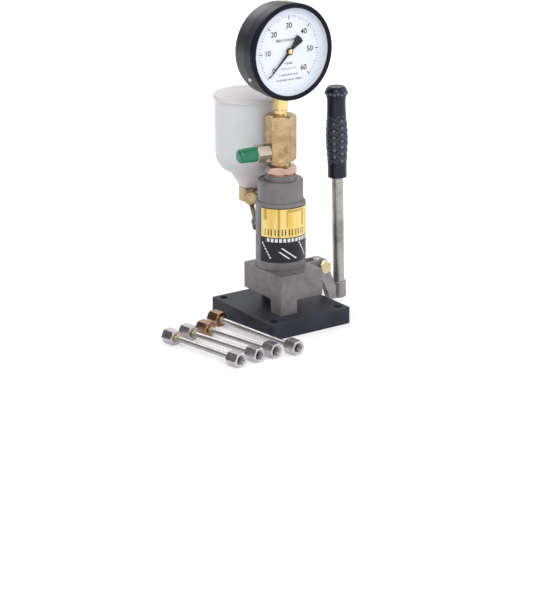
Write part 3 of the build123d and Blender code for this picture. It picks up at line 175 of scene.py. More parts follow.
class Surface(NodeBench):
    """One material with a Principled shader at its end."""

    def __init__(self, name: str, **constants: Any) -> None:
        """Start a material.

        Args:
            name: Its name.
            constants: Shader sockets that are the same all over, with _ for each space.
        """
        self.material = bpy.data.materials.new(name)
        self.material.use_nodes = True
        self.tree = self.material.node_tree
        self.tree.nodes.clear()
        self.shader = self.tree.nodes.new("ShaderNodeBsdfPrincipled")
        end = self.tree.nodes.new("ShaderNodeOutputMaterial")
        self.tree.links.new(self.shader.outputs[0], end.inputs["Surface"])
        self.feed(**constants)

    def feed(self, **inputs: Any) -> "Surface":
        """Set or link the shader's inputs, with _ for each space in a socket's name."""
        for key, value in inputs.items():
            plug(self.tree, self.shader.inputs[key.replace("_", " ")], value)
        return self

    def place(self, stretch: Place = (1.0, 1.0, 1.0), centre: Place = (0.0, 0.0, 0.0)) -> Value:
        """Object coordinates about a centre in metres, stretched by a factor along each axis."""
        moved = self.vector_maths("SUBTRACT", self.node("ShaderNodeTexCoord", output="Object"), centre)
        return self.vector_maths("MULTIPLY", moved, stretch)

    def noise(self, scale: float, detail: float = 3.0, roughness: float = 0.5,
              place: Value | None = None) -> Value:
        """Soft noise about 0.5, so many cells to a metre, in plain Object coordinates or in a place's."""
        links = {"Vector": place or self.place(), "Scale": scale, "Detail": detail, "Roughness": roughness}
        return self.node("ShaderNodeTexNoise", links)

    def mix(self, first: Any, second: Any, factor: Any) -> Value:
        """Mix two colours by the share of the second, at the sockets that a Mix node has for colours."""
        return self.node("ShaderNodeMix", {0: factor, 6: first, 7: second}, {"data_type": "RGBA"}, 2)

    def axis(self, place: Value, which: str) -> Value:
        """One coordinate of a vector."""
        return self.node("ShaderNodeSeparateXYZ", {0: place}, output=which)

    def soft_edges(self, radius: float) -> Value:
        """Normals that round the edges off by a radius in metres."""
        return self.node("ShaderNodeBevel", {"Radius": radius}, {"samples": 6})

    def wear(self, rounded: Value, gain: float) -> Value:
        """Mask of the edges by normals from soft_edges: 1 on an edge, 0 away from it."""
        plain = self.node("ShaderNodeNewGeometry", output="Normal")
        return ((1.0 - self.vector_maths("DOT_PRODUCT", rounded, plain, "Value")) * gain).clamp()

    def bump(self, height: Value, distance: float, strength: float = 1.0,
             normal: Value | None = None) -> Value:
        """Normals from a height of 0 to 1, so many metres for 1, on top of other normals if given."""
        links = {"Height": height, "Distance": distance, "Strength": strength}
        return self.node("ShaderNodeBump", links if normal is None else links | {"Normal": normal})


def lighten(colour: Colour, gain: float, lift: float = 0.0) -> Colour:
    """A colour times a gain, lifted, and no brighter than white."""
    return tuple(min(1.0, part * gain + lift) for part in colour)


# finishes


class Grain(Enum):
    """Which way a metal's fine marks run: cells to a metre along each axis."""

    AROUND_Z = (60.0, 60.0, 2600.0)
    ALONG_Z = (2200.0, 2200.0, 30.0)
    NONE = (700.0, 700.0, 700.0)


@dataclass(frozen=True)
class Lean:
    """The lever rod's middle line: x = foot - slope * z, in metres."""

    foot: float = 0.0794
    slope: float = math.tan(math.radians(1.6))


@dataclass(frozen=True)
class StudField:
    """Studs round the grip in metres, every other row turned by half a column; rise is a share of radius."""

    low: float = 0.1654
    step: float = 0.0039
    rows: int = 13
    columns: int = 4
    start: float = math.radians(263.0)
    radius: float = 0.0019
    rise: float = 0.4


@dataclass(frozen=True)
class Finish:
    """What every finish has: a name, and a way to build its material."""

    name: str

    def material(self) -> Material:
        """Build the material."""
        raise NotImplementedError(self.name)

    def tone(self, look: Surface, colour: Value) -> Value:
        """Leave the colour as it is; a finish with a second colour lays it on here."""
        return colour


@dataclass(frozen=True)
class CastEnamel(Finish):
    """Thick gloss enamel over a casting: slow waves, orange peel, chips of dust."""

    colour: Colour
    roughness: float = 0.28
    wave: float = 0.00022
    edge: float = 0.0008
    gloss: float = 0.32
    coat: float = 0.08
    wave_cells: float = 55.0
    peel_cells: float = 900.0
    patch_cells: float = 26.0
    chip_cells: float = 420.0

    def material(self) -> Material:
        """Build the material."""
        look = Surface(self.name, Metallic=0.0, Specular_IOR_Level=self.gloss, Coat_Weight=self.coat,
                       Coat_Roughness=0.2)
        waves, peel = look.noise(self.wave_cells, 2.0), look.noise(self.peel_cells, 2.0)
        patches = look.noise(self.patch_cells, 4.0, 0.6)
        rounded = look.soft_edges(self.edge)
        worn = look.wear(rounded, 5.0) * look.noise(self.chip_cells).ramp(0.35, 0.7)
        colour = look.mix(self.colour, lighten(self.colour, 1.6, 0.02), patches.ramp(0.35, 0.8) * 0.5)
        colour = look.mix(self.tone(look, colour), lighten(self.colour, 2.2, 0.05), worn * 0.5)
        rough = self.roughness + patches * 0.16 - 0.06
        normal = look.bump(waves + peel * 0.12, self.wave, 0.8, rounded)
        return look.feed(Base_Color=colour, Roughness=rough, Normal=normal).material


@dataclass(frozen=True)
class LippedEnamel(CastEnamel):
    """Enamel that is darker on the lip in front of a place along Y."""

    lip_back: float = 0.0
    lip: Colour = (0.003, 0.0045, 0.011)

    def tone(self, look: Surface, colour: Value) -> Value:
        """Darken the lip."""
        return look.mix(self.lip, colour, look.axis(look.place(), "Y") > self.lip_back)


@dataclass(frozen=True)
class Metal(Finish):
    """Bare or plated metal with fine marks of the tool that cut it."""

    colour: Colour
    shade: Colour
    roughness: float = 0.3
    metallic: float = 1.0
    grain: Grain = Grain.NONE
    mark: float = 0.00003
    edge: float = 0.0004
    mottle: float = 0.3
    centre: Place = (0.0, 0.0, 0.0)
    stain_cells: float = 95.0
    smear_cells: float = 30.0
    speckle_cells: float = 620.0

    def material(self) -> Material:
        """Build the material."""
        look = Surface(self.name, Metallic=self.metallic)
        marks = look.noise(1.0, 3.0, 0.6, look.place(self.grain.value, self.centre))
        stains, smear = look.noise(self.stain_cells, 5.0, 0.62), look.noise(self.smear_cells)
        speckle = look.noise(self.speckle_cells, 2.0).ramp(0.45, 0.75)
        rounded = look.soft_edges(self.edge)
        rubbed = (look.wear(rounded, 4.0) + marks.ramp(0.55, 0.8) * 0.25).clamp()
        colour = look.mix(self.colour, self.shade, (stains * 0.65 + smear * 0.5).ramp(0.48, 0.82))
        colour = look.mix(colour, self.shade, speckle * self.mottle)
        colour = self.tone(look, look.mix(colour, lighten(self.colour, 1.25, 0.04), rubbed))
        rough = self.roughness + (stains - 0.5) * 0.3 + (marks - 0.5) * 0.25
        normal = look.bump(marks, self.mark, 0.6, rounded)
        return look.feed(Base_Color=colour, Roughness=rough.clamp(), Normal=normal).material


@dataclass(frozen=True)
class CollaredPipe(Metal):
    """Plated pipe whose collar, behind a place along Y, is bare brass."""

    colour: Colour = (0.46, 0.445, 0.445)
    shade: Colour = (0.32, 0.3, 0.305)
    roughness: float = 0.33
    collar_front: float = 0.0
    collar: Colour = (0.54, 0.44, 0.23)

    def tone(self, look: Surface, colour: Value) -> Value:
        """Lay the collar's brass over the plating."""
        return look.mix(colour, self.collar, look.axis(look.place(), "Y") > self.collar_front)


@dataclass(frozen=True)
class Moulded(Finish):
    """Moulded plastic or rubber."""

    colour: Colour
    shade: Colour
    roughness: float = 0.45
    subsurface: float = 0.0
    transmission: float = 0.0
    grain_size: float = 900.0
    grain_depth: float = 0.00004
    edge: float = 0.0005
    gloss: float = 0.5
    cloud_cells: float = 32.0

    def material(self) -> Material:
        """Build the material."""
        look = Surface(self.name, Metallic=0.0, Subsurface_Weight=self.subsurface, Subsurface_Scale=0.006,
                       Transmission_Weight=self.transmission, IOR=1.45, Specular_IOR_Level=self.gloss)
        grain, clouds = look.noise(self.grain_size), look.noise(self.cloud_cells)
        colour = look.mix(self.colour, self.shade, clouds.ramp(0.35, 0.75))
        rough = self.roughness + (grain - 0.5) * 0.2 + (clouds - 0.5) * 0.15
        normal = look.bump(grain, self.grain_depth, 0.7, look.soft_edges(self.edge))
        return look.feed(Base_Color=colour, Roughness=rough.clamp(), Normal=normal).material


@dataclass(frozen=True)
class StuddedRubber(Finish):
    """Moulded grip with a raised net of fine ridges round its studs, wound on a leaning axis; the crests
    carry a painted highlight.
    """

    colour: Colour
    shade: Colour
    line: Lean = Lean()
    field: StudField = StudField()
    crest: Colour = (0.06, 0.066, 0.085)
    roughness: float = 0.32
    ridge: float = 0.0006
    margin: Span = (0.003, 0.001)
    fade: float = 0.002
    grain_cells: float = 1100.0
    grain_depth: float = 0.00005
    cloud_cells: float = 32.0

    def material(self) -> Material:
        """Build the material."""
        look = Surface(self.name, Metallic=0.0, Specular_IOR_Level=0.3)
        here = look.place()
        height = look.axis(here, "Z")
        aside = look.axis(here, "X") - (self.line.foot - height * self.line.slope)
        turn = look.axis(here, "Y").arctan2(aside)
        column = (turn - self.field.start) / (math.pi / self.field.columns)
        row = (height - self.field.low) / self.field.step
        net = self._ridge(column + row) + self._ridge(column - row)
        top = self.field.low + self.field.step * self.field.rows
        inside = (height - self.field.low + self.margin[0]).ramp(0.0, self.fade)
        inside = inside * (top + self.margin[1] - height).ramp(0.0, self.fade)
        grain, clouds = look.noise(self.grain_cells), look.noise(self.cloud_cells)
        raised = net.clamp() * inside
        colour = look.mix(self.colour, self.shade, clouds.ramp(0.35, 0.75))
        # painted highlight: the raised crests of the net are painted paler, as if they caught the light
        colour = look.mix(colour, self.crest, raised * 0.55)
        rough = self.roughness + (grain - 0.5) * 0.2 + (clouds - 0.5) * 0.15
        normal = look.bump(raised, self.ridge, 1.0, look.bump(grain, self.grain_depth, 0.6))
        return look.feed(Base_Color=colour, Roughness=rough.clamp(), Normal=normal).material

    @staticmethod
    def _ridge(value: Value) -> Value:
        """1 along the middle of each cell of two, with soft sides."""
        return 1.0 - ((value % 2.0) - 1.0).size().ramp(0.12, 0.5)


@dataclass(frozen=True)
class Print(Finish):
    """Matt print on a flat plate."""

    colour: Colour
    roughness: float = 0.5
    gloss: float = 0.5
    speck_cells: float = 1500.0
    cloud_cells: float = 40.0

    def material(self) -> Material:
        """Build the material."""
        look = Surface(self.name, Metallic=0.0, Specular_IOR_Level=self.gloss)
        speck, cloud = look.noise(self.speck_cells, 2.0), look.noise(self.cloud_cells, 2.0)
        faded = cloud.ramp(0.3, 0.8) * 0.6 + speck * 0.15
        colour = look.mix(self.colour, lighten(self.colour, 0.93), faded)
        rough = self.roughness + (speck - 0.5) * 0.15
        return look.feed(Base_Color=colour, Roughness=rough, Normal=look.bump(speck, 0.00001, 0.5)).material


@dataclass(frozen=True)
class Marks:
    """Marks on a sheet: a span in metres across from its front, and a rise in metres up from its low edge.

    A pitch repeats the span, a lean moves it on its way up, and dashes (step, length, start) break it up.
    """

    span: Span
    rise: Span
    inside: Span | None = None
    pitch: float = 0.0
    phase: float = 0.0
    lean: float = 0.0
    dashes: Place | None = None
    weight: float = 1.0

    def cover(self, across: Value, up: Value) -> Value:
        """Find where the marks are.

        Args:
            across: Metres across.
            up: Metres up.

        Returns:
            The weight on a mark, 0 beside it.
        """
        along = across + up * self.lean + self.phase
        found = (along % self.pitch if self.pitch else along).within(self.span) * up.within(self.rise)
        if self.inside:
            found = found * across.within(self.inside)
        if self.dashes:
            step, length, start = self.dashes
            found = found * (((up + start) % step) < length)
        return found * self.weight


@dataclass(frozen=True)
class Layer:
    """One colour laid on a sheet, as its print or as its painted reflections, its share and its marks."""

    colour: Colour
    share: float
    marks: tuple[Marks, ...]


@dataclass(frozen=True)
class Sheet(Finish):
    """Glossy label sheet: a gold band over a black one, plain print on both, and painted sheen and
    reflections on the gold.
    """

    low: float
    seam: float
    radius: float
    layers: tuple[Layer, ...]
    gold: Colour = (0.8, 0.52, 0.085)
    pale_gold: Colour = (0.93, 0.72, 0.29)
    dark: Colour = (0.006, 0.007, 0.012)
    sheen_cells: Place = (60.0, 60.0, 9.0)

    def material(self) -> Material:
        """Build the material."""
        look = Surface(self.name, Metallic=0.0, Specular_IOR_Level=0.3, Coat_Weight=0.06,
                       Coat_Roughness=0.08)
        here = look.place()
        up = look.axis(here, "Z") - self.low
        across = look.axis(here, "X").arctan2(-look.axis(here, "Y")) * self.radius
        # painted sheen: upright streaks of paler gold on the foil stand in for its reflections
        sheen = look.noise(1.0, 2.0, 0.5, look.place(self.sheen_cells))
        foil = look.mix(self.gold, self.pale_gold, sheen.ramp(0.35, 0.65))
        colour = look.mix(self.dark, foil, up > self.seam)
        for layer in self.layers:
            cover = sum((marks.cover(across, up) for marks in layer.marks), 0.0)
            colour = look.mix(colour, layer.colour, cover.clamp() * layer.share)
        rough = 0.24 + look.noise(260.0) * 0.18
        normal = look.bump(look.noise(120.0, 2.0), 0.00012, 0.5)
        return look.feed(Base_Color=colour, Roughness=rough, Normal=normal).material


LABEL_SEAM = 0.0278
LABEL_PRINT_AND_REFLECTIONS = (
    # darker gold on the foil: upright stripes, the first of them a painted reflection, and an empty printed
    # frame whose wide right side is a painted reflection
    Layer((0.4, 0.25, 0.035), 0.7, (
        Marks((-0.0196, -0.0170), (LABEL_SEAM, 1.0)), Marks((-0.0362, -0.0318), (0.0468, 1.0)),
        Marks((-0.0102, 0.0125), (0.0393, 0.0582)),
        Marks((-0.0086, 0.0085), (0.0393, 0.0552), weight=-1.0))),
    # a line at its top and its left, and pairs of bars
    Layer((0.03, 0.026, 0.018), 1.0, (
        Marks((-1.0, 1.0), (0.0590, 1.0)), Marks((-1.0, -0.0398), (LABEL_SEAM, 1.0)),
        Marks((-1.0, 0.0013), (0.0300, 0.0370), (-0.0345, 0.0125), 0.0077, 0.1),
        Marks((0.0034, 0.0047), (0.0300, 0.0370), (-0.0345, 0.0125), 0.0077, 0.1))),
    # squares under the seam, slanted dashes and two strokes
    Layer((0.78, 0.79, 0.8), 1.0, (
        Marks((-1.0, 0.0030), (0.0229, 0.0268), (-0.0335, 1.0), 0.00455, 0.1),
        Marks((0.0008, 0.0027), (0.0040, 0.0218), None, 0.0434, 0.2, 0.62, (0.0030, 0.0021, 0.0014)),
        Marks((-0.0022, 0.0), (0.0042, 0.0125), lean=1.35),
        Marks((0.0060, 0.0082), (0.0042, 0.0165), lean=1.35))))


@dataclass(frozen=True)
class Pane(Finish):
    """Clear flat glass with a little dust."""

    tint: Colour = (0.92, 0.95, 1.0)
    cover: float = 0.012
    dust: float = 0.012

    def material(self) -> Material:
        """Build the material."""
        look = Surface(self.name, Base_Color=self.tint, IOR=1.5, Specular_IOR_Level=0.5)
        smear = look.noise(45.0, 3.0, 0.6)
        alpha = self.cover + smear.ramp(0.5, 0.9) * self.dust
        return look.feed(Roughness=0.03 + smear * 0.05, Alpha=alpha).material


FINISHES: dict[str, Finish] = {
    "enamel": CastEnamel("black_enamel", (0.024, 0.026, 0.034), 0.42, gloss=0.14, coat=0.02),
    "phosphate": Metal("phosphated_steel", (0.185, 0.172, 0.177), (0.14, 0.129, 0.132), 0.42, 0.35,
                       Grain.AROUND_Z, 0.00002),
    "cast_steel": Metal("cast_steel", (0.2, 0.188, 0.19), (0.13, 0.121, 0.123), 0.46, 0.3, mark=0.00012),
    "lever_steel": Metal("lever_steel", (0.3, 0.29, 0.29), (0.17, 0.16, 0.16), 0.4, 0.7, mark=0.0001),
    "rod_steel": Metal("rod_steel", (0.4, 0.39, 0.38), (0.2, 0.19, 0.185), 0.34, 0.95, Grain.ALONG_Z,
                       centre=(0.077, 0.0, 0.0)),
    "zinc": Metal("zinc_plate", (0.56, 0.535, 0.55), (0.34, 0.31, 0.33), 0.32),
    "yellow_zinc": Metal("yellow_zinc_plate", (0.58, 0.5, 0.3), (0.4, 0.31, 0.16), 0.28, 0.95),
    "brown_zinc": Metal("brown_zinc_plate", (0.44, 0.27, 0.155), (0.22, 0.09, 0.06), 0.3),
    "nickel": Metal("nickel_plate", (0.56, 0.5, 0.42), (0.36, 0.3, 0.24), 0.3, 0.9),
    "brass": Metal("milled_brass", (0.5, 0.37, 0.205), (0.28, 0.18, 0.085), 0.33, 0.95, mark=0.00006,
                   mottle=0.65),
    "stem_brass": Metal("turned_brass", (0.7, 0.55, 0.26), (0.5, 0.36, 0.15), 0.24, 0.95, Grain.AROUND_Z),
    "feed_brass": Metal("feed_pipe_brass", (0.36, 0.31, 0.22), (0.24, 0.19, 0.13), 0.3, 0.9),
    "pink_brass": Metal("pink_brass", (0.52, 0.37, 0.325), (0.36, 0.21, 0.11), 0.22, mottle=0.5),
    "copper": Metal("annealed_copper", (0.4, 0.2, 0.165), (0.25, 0.12, 0.1), 0.4, 0.9),
    "bronze": Metal("bearing_bronze", (0.52, 0.35, 0.17), (0.36, 0.22, 0.1), 0.35, 0.95, Grain.AROUND_Z),
    "steel": Metal("ground_steel", (0.6, 0.59, 0.58), (0.42, 0.41, 0.4), 0.26, 0.95, Grain.AROUND_Z),
    "gauge_black": CastEnamel("gauge_enamel", (0.02, 0.021, 0.025), 0.36, 0.00005, 0.0005, 0.4, 0.05),
    "bezel_black": LippedEnamel("bezel_enamel", (0.03, 0.031, 0.036), 0.3, 0.00003, 0.0005, 0.12, 0.0,
                                lip_back=-0.0178),
    "milky": Moulded("milky_plastic", (0.9, 0.835, 0.86), (0.84, 0.78, 0.81), 0.36, 0.5, 0.2, 500.0, 0.00002),
    "lid_milky": Moulded("lid_plastic", (0.75, 0.715, 0.72), (0.69, 0.655, 0.665), 0.55, 0.3, 0.05, 600.0,
                         0.00003, gloss=0.2),
    "green": Moulded("green_plastic", (0.02, 0.25, 0.125), (0.008, 0.14, 0.065), 0.27, 0.15, 0.0, 700.0),
    # painted highlight: the studs are the grip's own rubber, painted far paler than the grip so that they
    # read as lit dots
    "studs": Moulded("stud_rubber", (0.12, 0.13, 0.155), (0.08, 0.086, 0.105), 0.2, grain_depth=0.00002),
    # painted light: the glass's gasket is painted pale so that the recess round the dial reads bright instead
    # of shaded
    "pale_seal": Moulded("pale_seal", (0.72, 0.74, 0.78), (0.66, 0.68, 0.72), 0.5),
    "seal": Moulded("seal_rubber", (0.02, 0.02, 0.022), (0.012, 0.012, 0.013), 0.6),
    "dial": Print("dial_print", (0.8, 0.86, 0.96)),
    "ink": Print("dial_ink", (0.004, 0.004, 0.005), 0.5, 0.15),
    "soft_ink": Print("dial_small_print", (0.05, 0.053, 0.063), 0.5),
    "grip": StuddedRubber("grip_rubber", (0.008, 0.0105, 0.018), (0.005, 0.0065, 0.012)),
    "label": Sheet("label_sheet", 0.0704, LABEL_SEAM, 0.02725, LABEL_PRINT_AND_REFLECTIONS),
    "glass": Pane("gauge_pane"),
}


class Palette(dict[str, Material]):
    """The materials by finish, each made at its first use."""

    def __missing__(self, name: str) -> Material:
        """Make the material of one finish."""
        self[name] = FINISHES[name].material()
        return self[name]


# geometry


def add_object(name: str, data: Any) -> Object:
    """Make an object and link it to the scene."""
    made = bpy.data.objects.new(name, data)
    bpy.context.scene.collection.objects.link(made)
    return made


def plain_mesh(carrier: Object) -> Mesh:
    """Take the mesh that a carrier's modifier or text makes.

    Args:
        carrier: The carrier, which is removed.

    Returns:
        The plain mesh.
    """
    bpy.context.view_layer.update()
    ready = carrier.evaluated_get(bpy.context.evaluated_depsgraph_get())
    mesh = bpy.data.meshes.new_from_object(ready)
    bpy.data.objects.remove(carrier)
    return mesh


class RepeatTree(NodeBench):
    """A geometry tree with named sizes, baked to a plain mesh."""

    def __init__(self, name: str) -> None:
        """Start the tree with its output."""
        self.tree = bpy.data.node_groups.new(name, "GeometryNodeTree")
        self.tree.interface.new_socket("Geometry", in_out="OUTPUT", socket_type="NodeSocketGeometry")
        self.entry = self.tree.nodes.new("NodeGroupInput")
        self.names: dict[str, str] = {}

    def sizes(self, names: str, kind: str = "Float") -> list[Value]:
        """Add named inputs of one kind.

        Args:
            names: The inputs' names, with a space between two.
            kind: Float, Int, Object or Material.

        Returns:
            Their values.
        """
        values = []
        for name in names.split():
            made = self.tree.interface.new_socket(name, in_out="INPUT", socket_type="NodeSocket" + kind)
            self.names[name] = made.identifier
            values.append(Value(self.tree, self.entry.outputs[name]))
        return values

    def vector(self, x: Any = 0.0, y: Any = 0.0, z: Any = 0.0) -> Value:
        """Put three numbers together."""
        return self.node("ShaderNodeCombineXYZ", {0: x, 1: y, 2: z})

    def moved(self, points: Value, place: Value) -> Value:
        """Points at new places."""
        return self.node("GeometryNodeSetPosition", {"Geometry": points, "Position": place})

    def points(self, count: Value, place: Value) -> Value:
        """So many points at their places."""
        return self.moved(self.node("GeometryNodeMeshLine", {"Count": count}), place)

    def close(self, geometry: Value) -> None:
        """End the tree in real geometry painted with its Finish."""
        finish, = self.sizes("Finish", "Material")
        real = self.node("GeometryNodeRealizeInstances", {0: geometry})
        painted = self.node("GeometryNodeSetMaterial", {"Geometry": real, "Material": finish})
        end = self.tree.nodes.new("NodeGroupOutput")
        self.tree.links.new(painted.socket, end.inputs[0])

    def close_copies(self, points: Value, instance: Value, **links: Any) -> None:
        """End the tree in a copy of an instance at each point, turned or scaled by the links."""
        sources = {"Points": points, "Instance": instance, **links}
        self.close(self.node("GeometryNodeInstanceOnPoints", sources))

    def bake(self, name: str, **sizes: Any) -> Object:
        """Run the tree.

        Args:
            name: The new piece's name.
            sizes: The inputs' values.

        Returns:
            An object with a plain mesh and no modifier.
        """
        carrier = add_object(name + "_carrier", bpy.data.meshes.new(name + "_carrier"))
        modifier = carrier.modifiers.new("repeat", "NODES")
        modifier.node_group = self.tree
        for key, value in sizes.items():
            modifier[self.names[key]] = value
        mesh = plain_mesh(carrier)
        mesh.name = name
        return add_object(name, mesh)


def tick_tree() -> RepeatTree:
    """Blocks set round an arc in the plane of the dial, counted clockwise from the start."""
    tree = RepeatTree("dial_ticks")
    count, = tree.sizes("Count", "Int")
    radius, length, width, thick = tree.sizes("Radius Length Width Thickness")
    start, step, front, middle = tree.sizes("Start Step Front Middle")
    angle = start - tree.node("GeometryNodeInputIndex") * step
    place = tree.vector(angle.cos() * radius, front, angle.sin() * radius + middle)
    block = tree.node("GeometryNodeMeshCube", {"Size": tree.vector(length, thick, width)})
    turn = tree.node("FunctionNodeEulerToRotation", {0: tree.vector(y=-angle)})
    tree.close_copies(tree.points(count, place), block, Rotation=turn)
    return tree


def stud_tree() -> RepeatTree:
    """Low round studs in staggered rows round a leaning grip, set on its skin."""
    outside, nudge = 0.03, 0.0001
    tree = RepeatTree("grip_studs")
    columns, rows = tree.sizes("Columns Rows", "Int")
    start, foot, slope, low, step = tree.sizes("Start Foot Slope Low Step")
    radius, rise = tree.sizes("Stud Rise")
    skin, = tree.sizes("Skin", "Object")
    index = tree.node("GeometryNodeInputIndex")
    row = (index / columns + nudge).floor()
    column = index - row * columns
    angle = (column + (row % 2.0) * 0.5) / columns * math.tau + start
    height = low + row * step
    around = tree.vector(angle.cos() * outside + foot - slope * height, angle.sin() * outside, height)
    body = tree.node("GeometryNodeObjectInfo", {"Object": skin}, {"transform_space": "ORIGINAL"}, "Geometry")
    near = tree.node("GeometryNodeProximity", {0: body}, {"target_element": "FACES"}, "Position")
    ball = tree.node("GeometryNodeMeshUVSphere", {"Segments": 12, "Rings": 8, "Radius": radius})
    ball = tree.node("GeometryNodeTransform", {"Geometry": ball, "Scale": tree.vector(rise, 1.0, 1.0)})
    ball = tree.node("GeometryNodeSetShadeSmooth", {0: ball})
    turn = tree.node("FunctionNodeEulerToRotation", {0: tree.vector(z=angle)})
    seats = tree.moved(tree.points(columns * rows, around), near)
    tree.close_copies(seats, ball, Rotation=turn)
    return tree


def winding_tree(name: str, steps: int, sides: int, smooth: bool) -> RepeatTree:
    """Wire wound about +Z, for a spring or for the crests of a screw thread.

    Args:
        name: The tree's name.
        steps: Steps in each turn.
        sides: Sides of the wire.
        smooth: Whether the wire is shaded round.

    Returns:
        The tree.
    """
    tree = RepeatTree(name)
    turns, radius, wire, low, rise = tree.sizes("Turns Radius Wire Low Rise")
    path = tree.node("GeometryNodeCurveSpiral", {"Resolution": steps, "Rotations": turns, "Height": rise,
                                                 "Start Radius": radius, "End Radius": radius})
    path = tree.node("GeometryNodeTransform", {"Geometry": path, "Translation": tree.vector(z=low)})
    section = tree.node("GeometryNodeCurvePrimitiveCircle", {"Resolution": sides, "Radius": wire})
    wound = tree.node("GeometryNodeCurveToMesh", {"Curve": path, "Profile Curve": section, "Fill Caps": True})
    tree.close(tree.node("GeometryNodeSetShadeSmooth", {0: wound}) if smooth else wound)
    return tree


def print_tree() -> RepeatTree:
    """A level row of short upright bars of uneven width, as plain print on a dial."""
    tree = RepeatTree("dial_print_row")
    count, seed = tree.sizes("Count Seed", "Int")
    step, width, tall, thick, height, front = tree.sizes("Step Width Tall Thickness Height Front")
    index = tree.node("GeometryNodeInputIndex")
    place = tree.vector((index - (count - 1.0) / 2.0) * step, front, height)
    shares = {"Min": (0.4, 1.0, 0.55), "Max": (1.0, 1.0, 1.0), "Seed": seed}
    uneven = tree.node("FunctionNodeRandomValue", shares, {"data_type": "FLOAT_VECTOR"})
    block = tree.node("GeometryNodeMeshCube", {"Size": tree.vector(width, thick, tall)})
    tree.close_copies(tree.points(count, place), block, Scale=uneven)
    return tree


def settle(piece: Object, body: str) -> Object:
    """Bake a piece's place into its mesh and let it ride.

    Args:
        piece: The finished piece.
        body: The body that it moves with.

    Returns:
        The piece.
    """
    piece.data.transform(piece.matrix_world)
    piece.matrix_world = Matrix.Identity(4)
    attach(piece, body)
    LOG.info("piece %s on %s, %d faces", piece.name, body, len(piece.data.polygons))
    return piece


def dress(palette: Palette, finishes: dict[str, str]) -> None:
    """Give carried-over nodes their finishes.

    Args:
        palette: The materials.
        finishes: Nodes by finish, with a space between two.
    """
    for finish, nodes in finishes.items():
        for node in nodes.split():
            for slot in frame["nodes"][node].material_slots:
                slot.link = "OBJECT"
                slot.material = palette[finish]
            LOG.info("node %s dressed in %s", node, finish)


# sub-assemblies


class Assembly:
    """A sub-assembly: its nodes by finish, and what is added to them."""

    finishes: dict[str, str]

    def build(self, palette: Palette) -> None:
        """Dress the nodes and add the rest.

        Args:
            palette: The materials.
        """
        dress(palette, self.finishes)
        self.add(palette)
        LOG.info("%s is dressed", type(self).__name__)

    def add(self, palette: Palette) -> None:
        """Add nothing; an assembly with more than its nodes does it here."""


@dataclass(frozen=True)
class CoilSpring:
    """A wound spring that takes the place of one of the frame's springs."""

    node: str
    wire: float
    turns: float

    def build(self, palette: Palette) -> None:
        """Wind the spring between its ends.

        Args:
            palette: The materials.
        """
        joint = next(joint for joint in frame["joints"]
                     if any(row["node"] == self.node for row in joint.get("deforming_nodes", ())))
        low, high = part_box(self.node)
        length = high[2] - low[2]
        tree = winding_tree("spring_coil", 32, 12, smooth=True)
        made = tree.bake(self.node + "_coil", Turns=self.turns, Radius=high[0] - self.wire, Wire=self.wire,
                         Low=low[2] + self.wire, Rise=length - 2.0 * self.wire, Finish=palette["steel"])
        settle(made, "tester")
        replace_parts(made, self.node)
        joint["name"]
        high[2]
        1.0 - joint["range_m"][1] / length
        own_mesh(made)


@dataclass
class Stand(Assembly):
    """Base plate, housing, pivot and column."""

    springs: tuple[CoilSpring, ...] = (CoilSpring("return_spring", 0.0011, 7.0),
                                       CoilSpring("valve_spring", 0.0004, 5.0))
    finishes = {
        "enamel": "base_plate", "cast_steel": "pump_housing", "yellow_zinc": "pivot_bolt pivot_nut",
        "phosphate": "pump_column column_cap", "label": "column_label", "bronze": "tappet_guide",
        "steel": "foot_screws tappet plunger pump_barrel valve_seat delivery_valve"}

    def add(self, palette: Palette) -> None:
        """Wind the springs."""
        for spring in self.springs:
            spring.build(palette)


@dataclass
class HandLever(Assembly):
    """Lever, rod and studded grip."""

    line: Lean = Lean()
    studs: StudField = StudField()
    ring: StudField = StudField(0.2364, 0.0028, 2, 9, radius=0.0015, rise=0.6)
    finishes = {
        "lever_steel": "pump_lever", "steel": "thrust_pin", "rod_steel": "lever_rod", "grip": "handle_grip"}

    def add(self, palette: Palette) -> None:
        """Set the studs of the grip and of its flange."""
        tree = stud_tree()
        for name, studs in (("grip_studs", self.studs), ("grip_ring_studs", self.ring)):
            made = tree.bake(name, Columns=studs.columns, Rows=studs.rows, Start=studs.start, Low=studs.low,
                             Step=studs.step, Stud=studs.radius, Rise=studs.rise, Foot=self.line.foot,
                             Slope=self.line.slope, Skin=frame["nodes"]["handle_grip"],
                             Finish=palette["studs"])
            settle(made, "lever")


class Manifold(Assembly):
    """Lock nut, brass manifold, outlet and dust cap."""

    finishes = {"copper": "copper_washer", "pink_brass": "lock_nut", "brass": "brass_manifold",
                "nickel": "outlet_nipple", "green": "dust_cap", "stem_brass": "gauge_washer gauge_socket"}


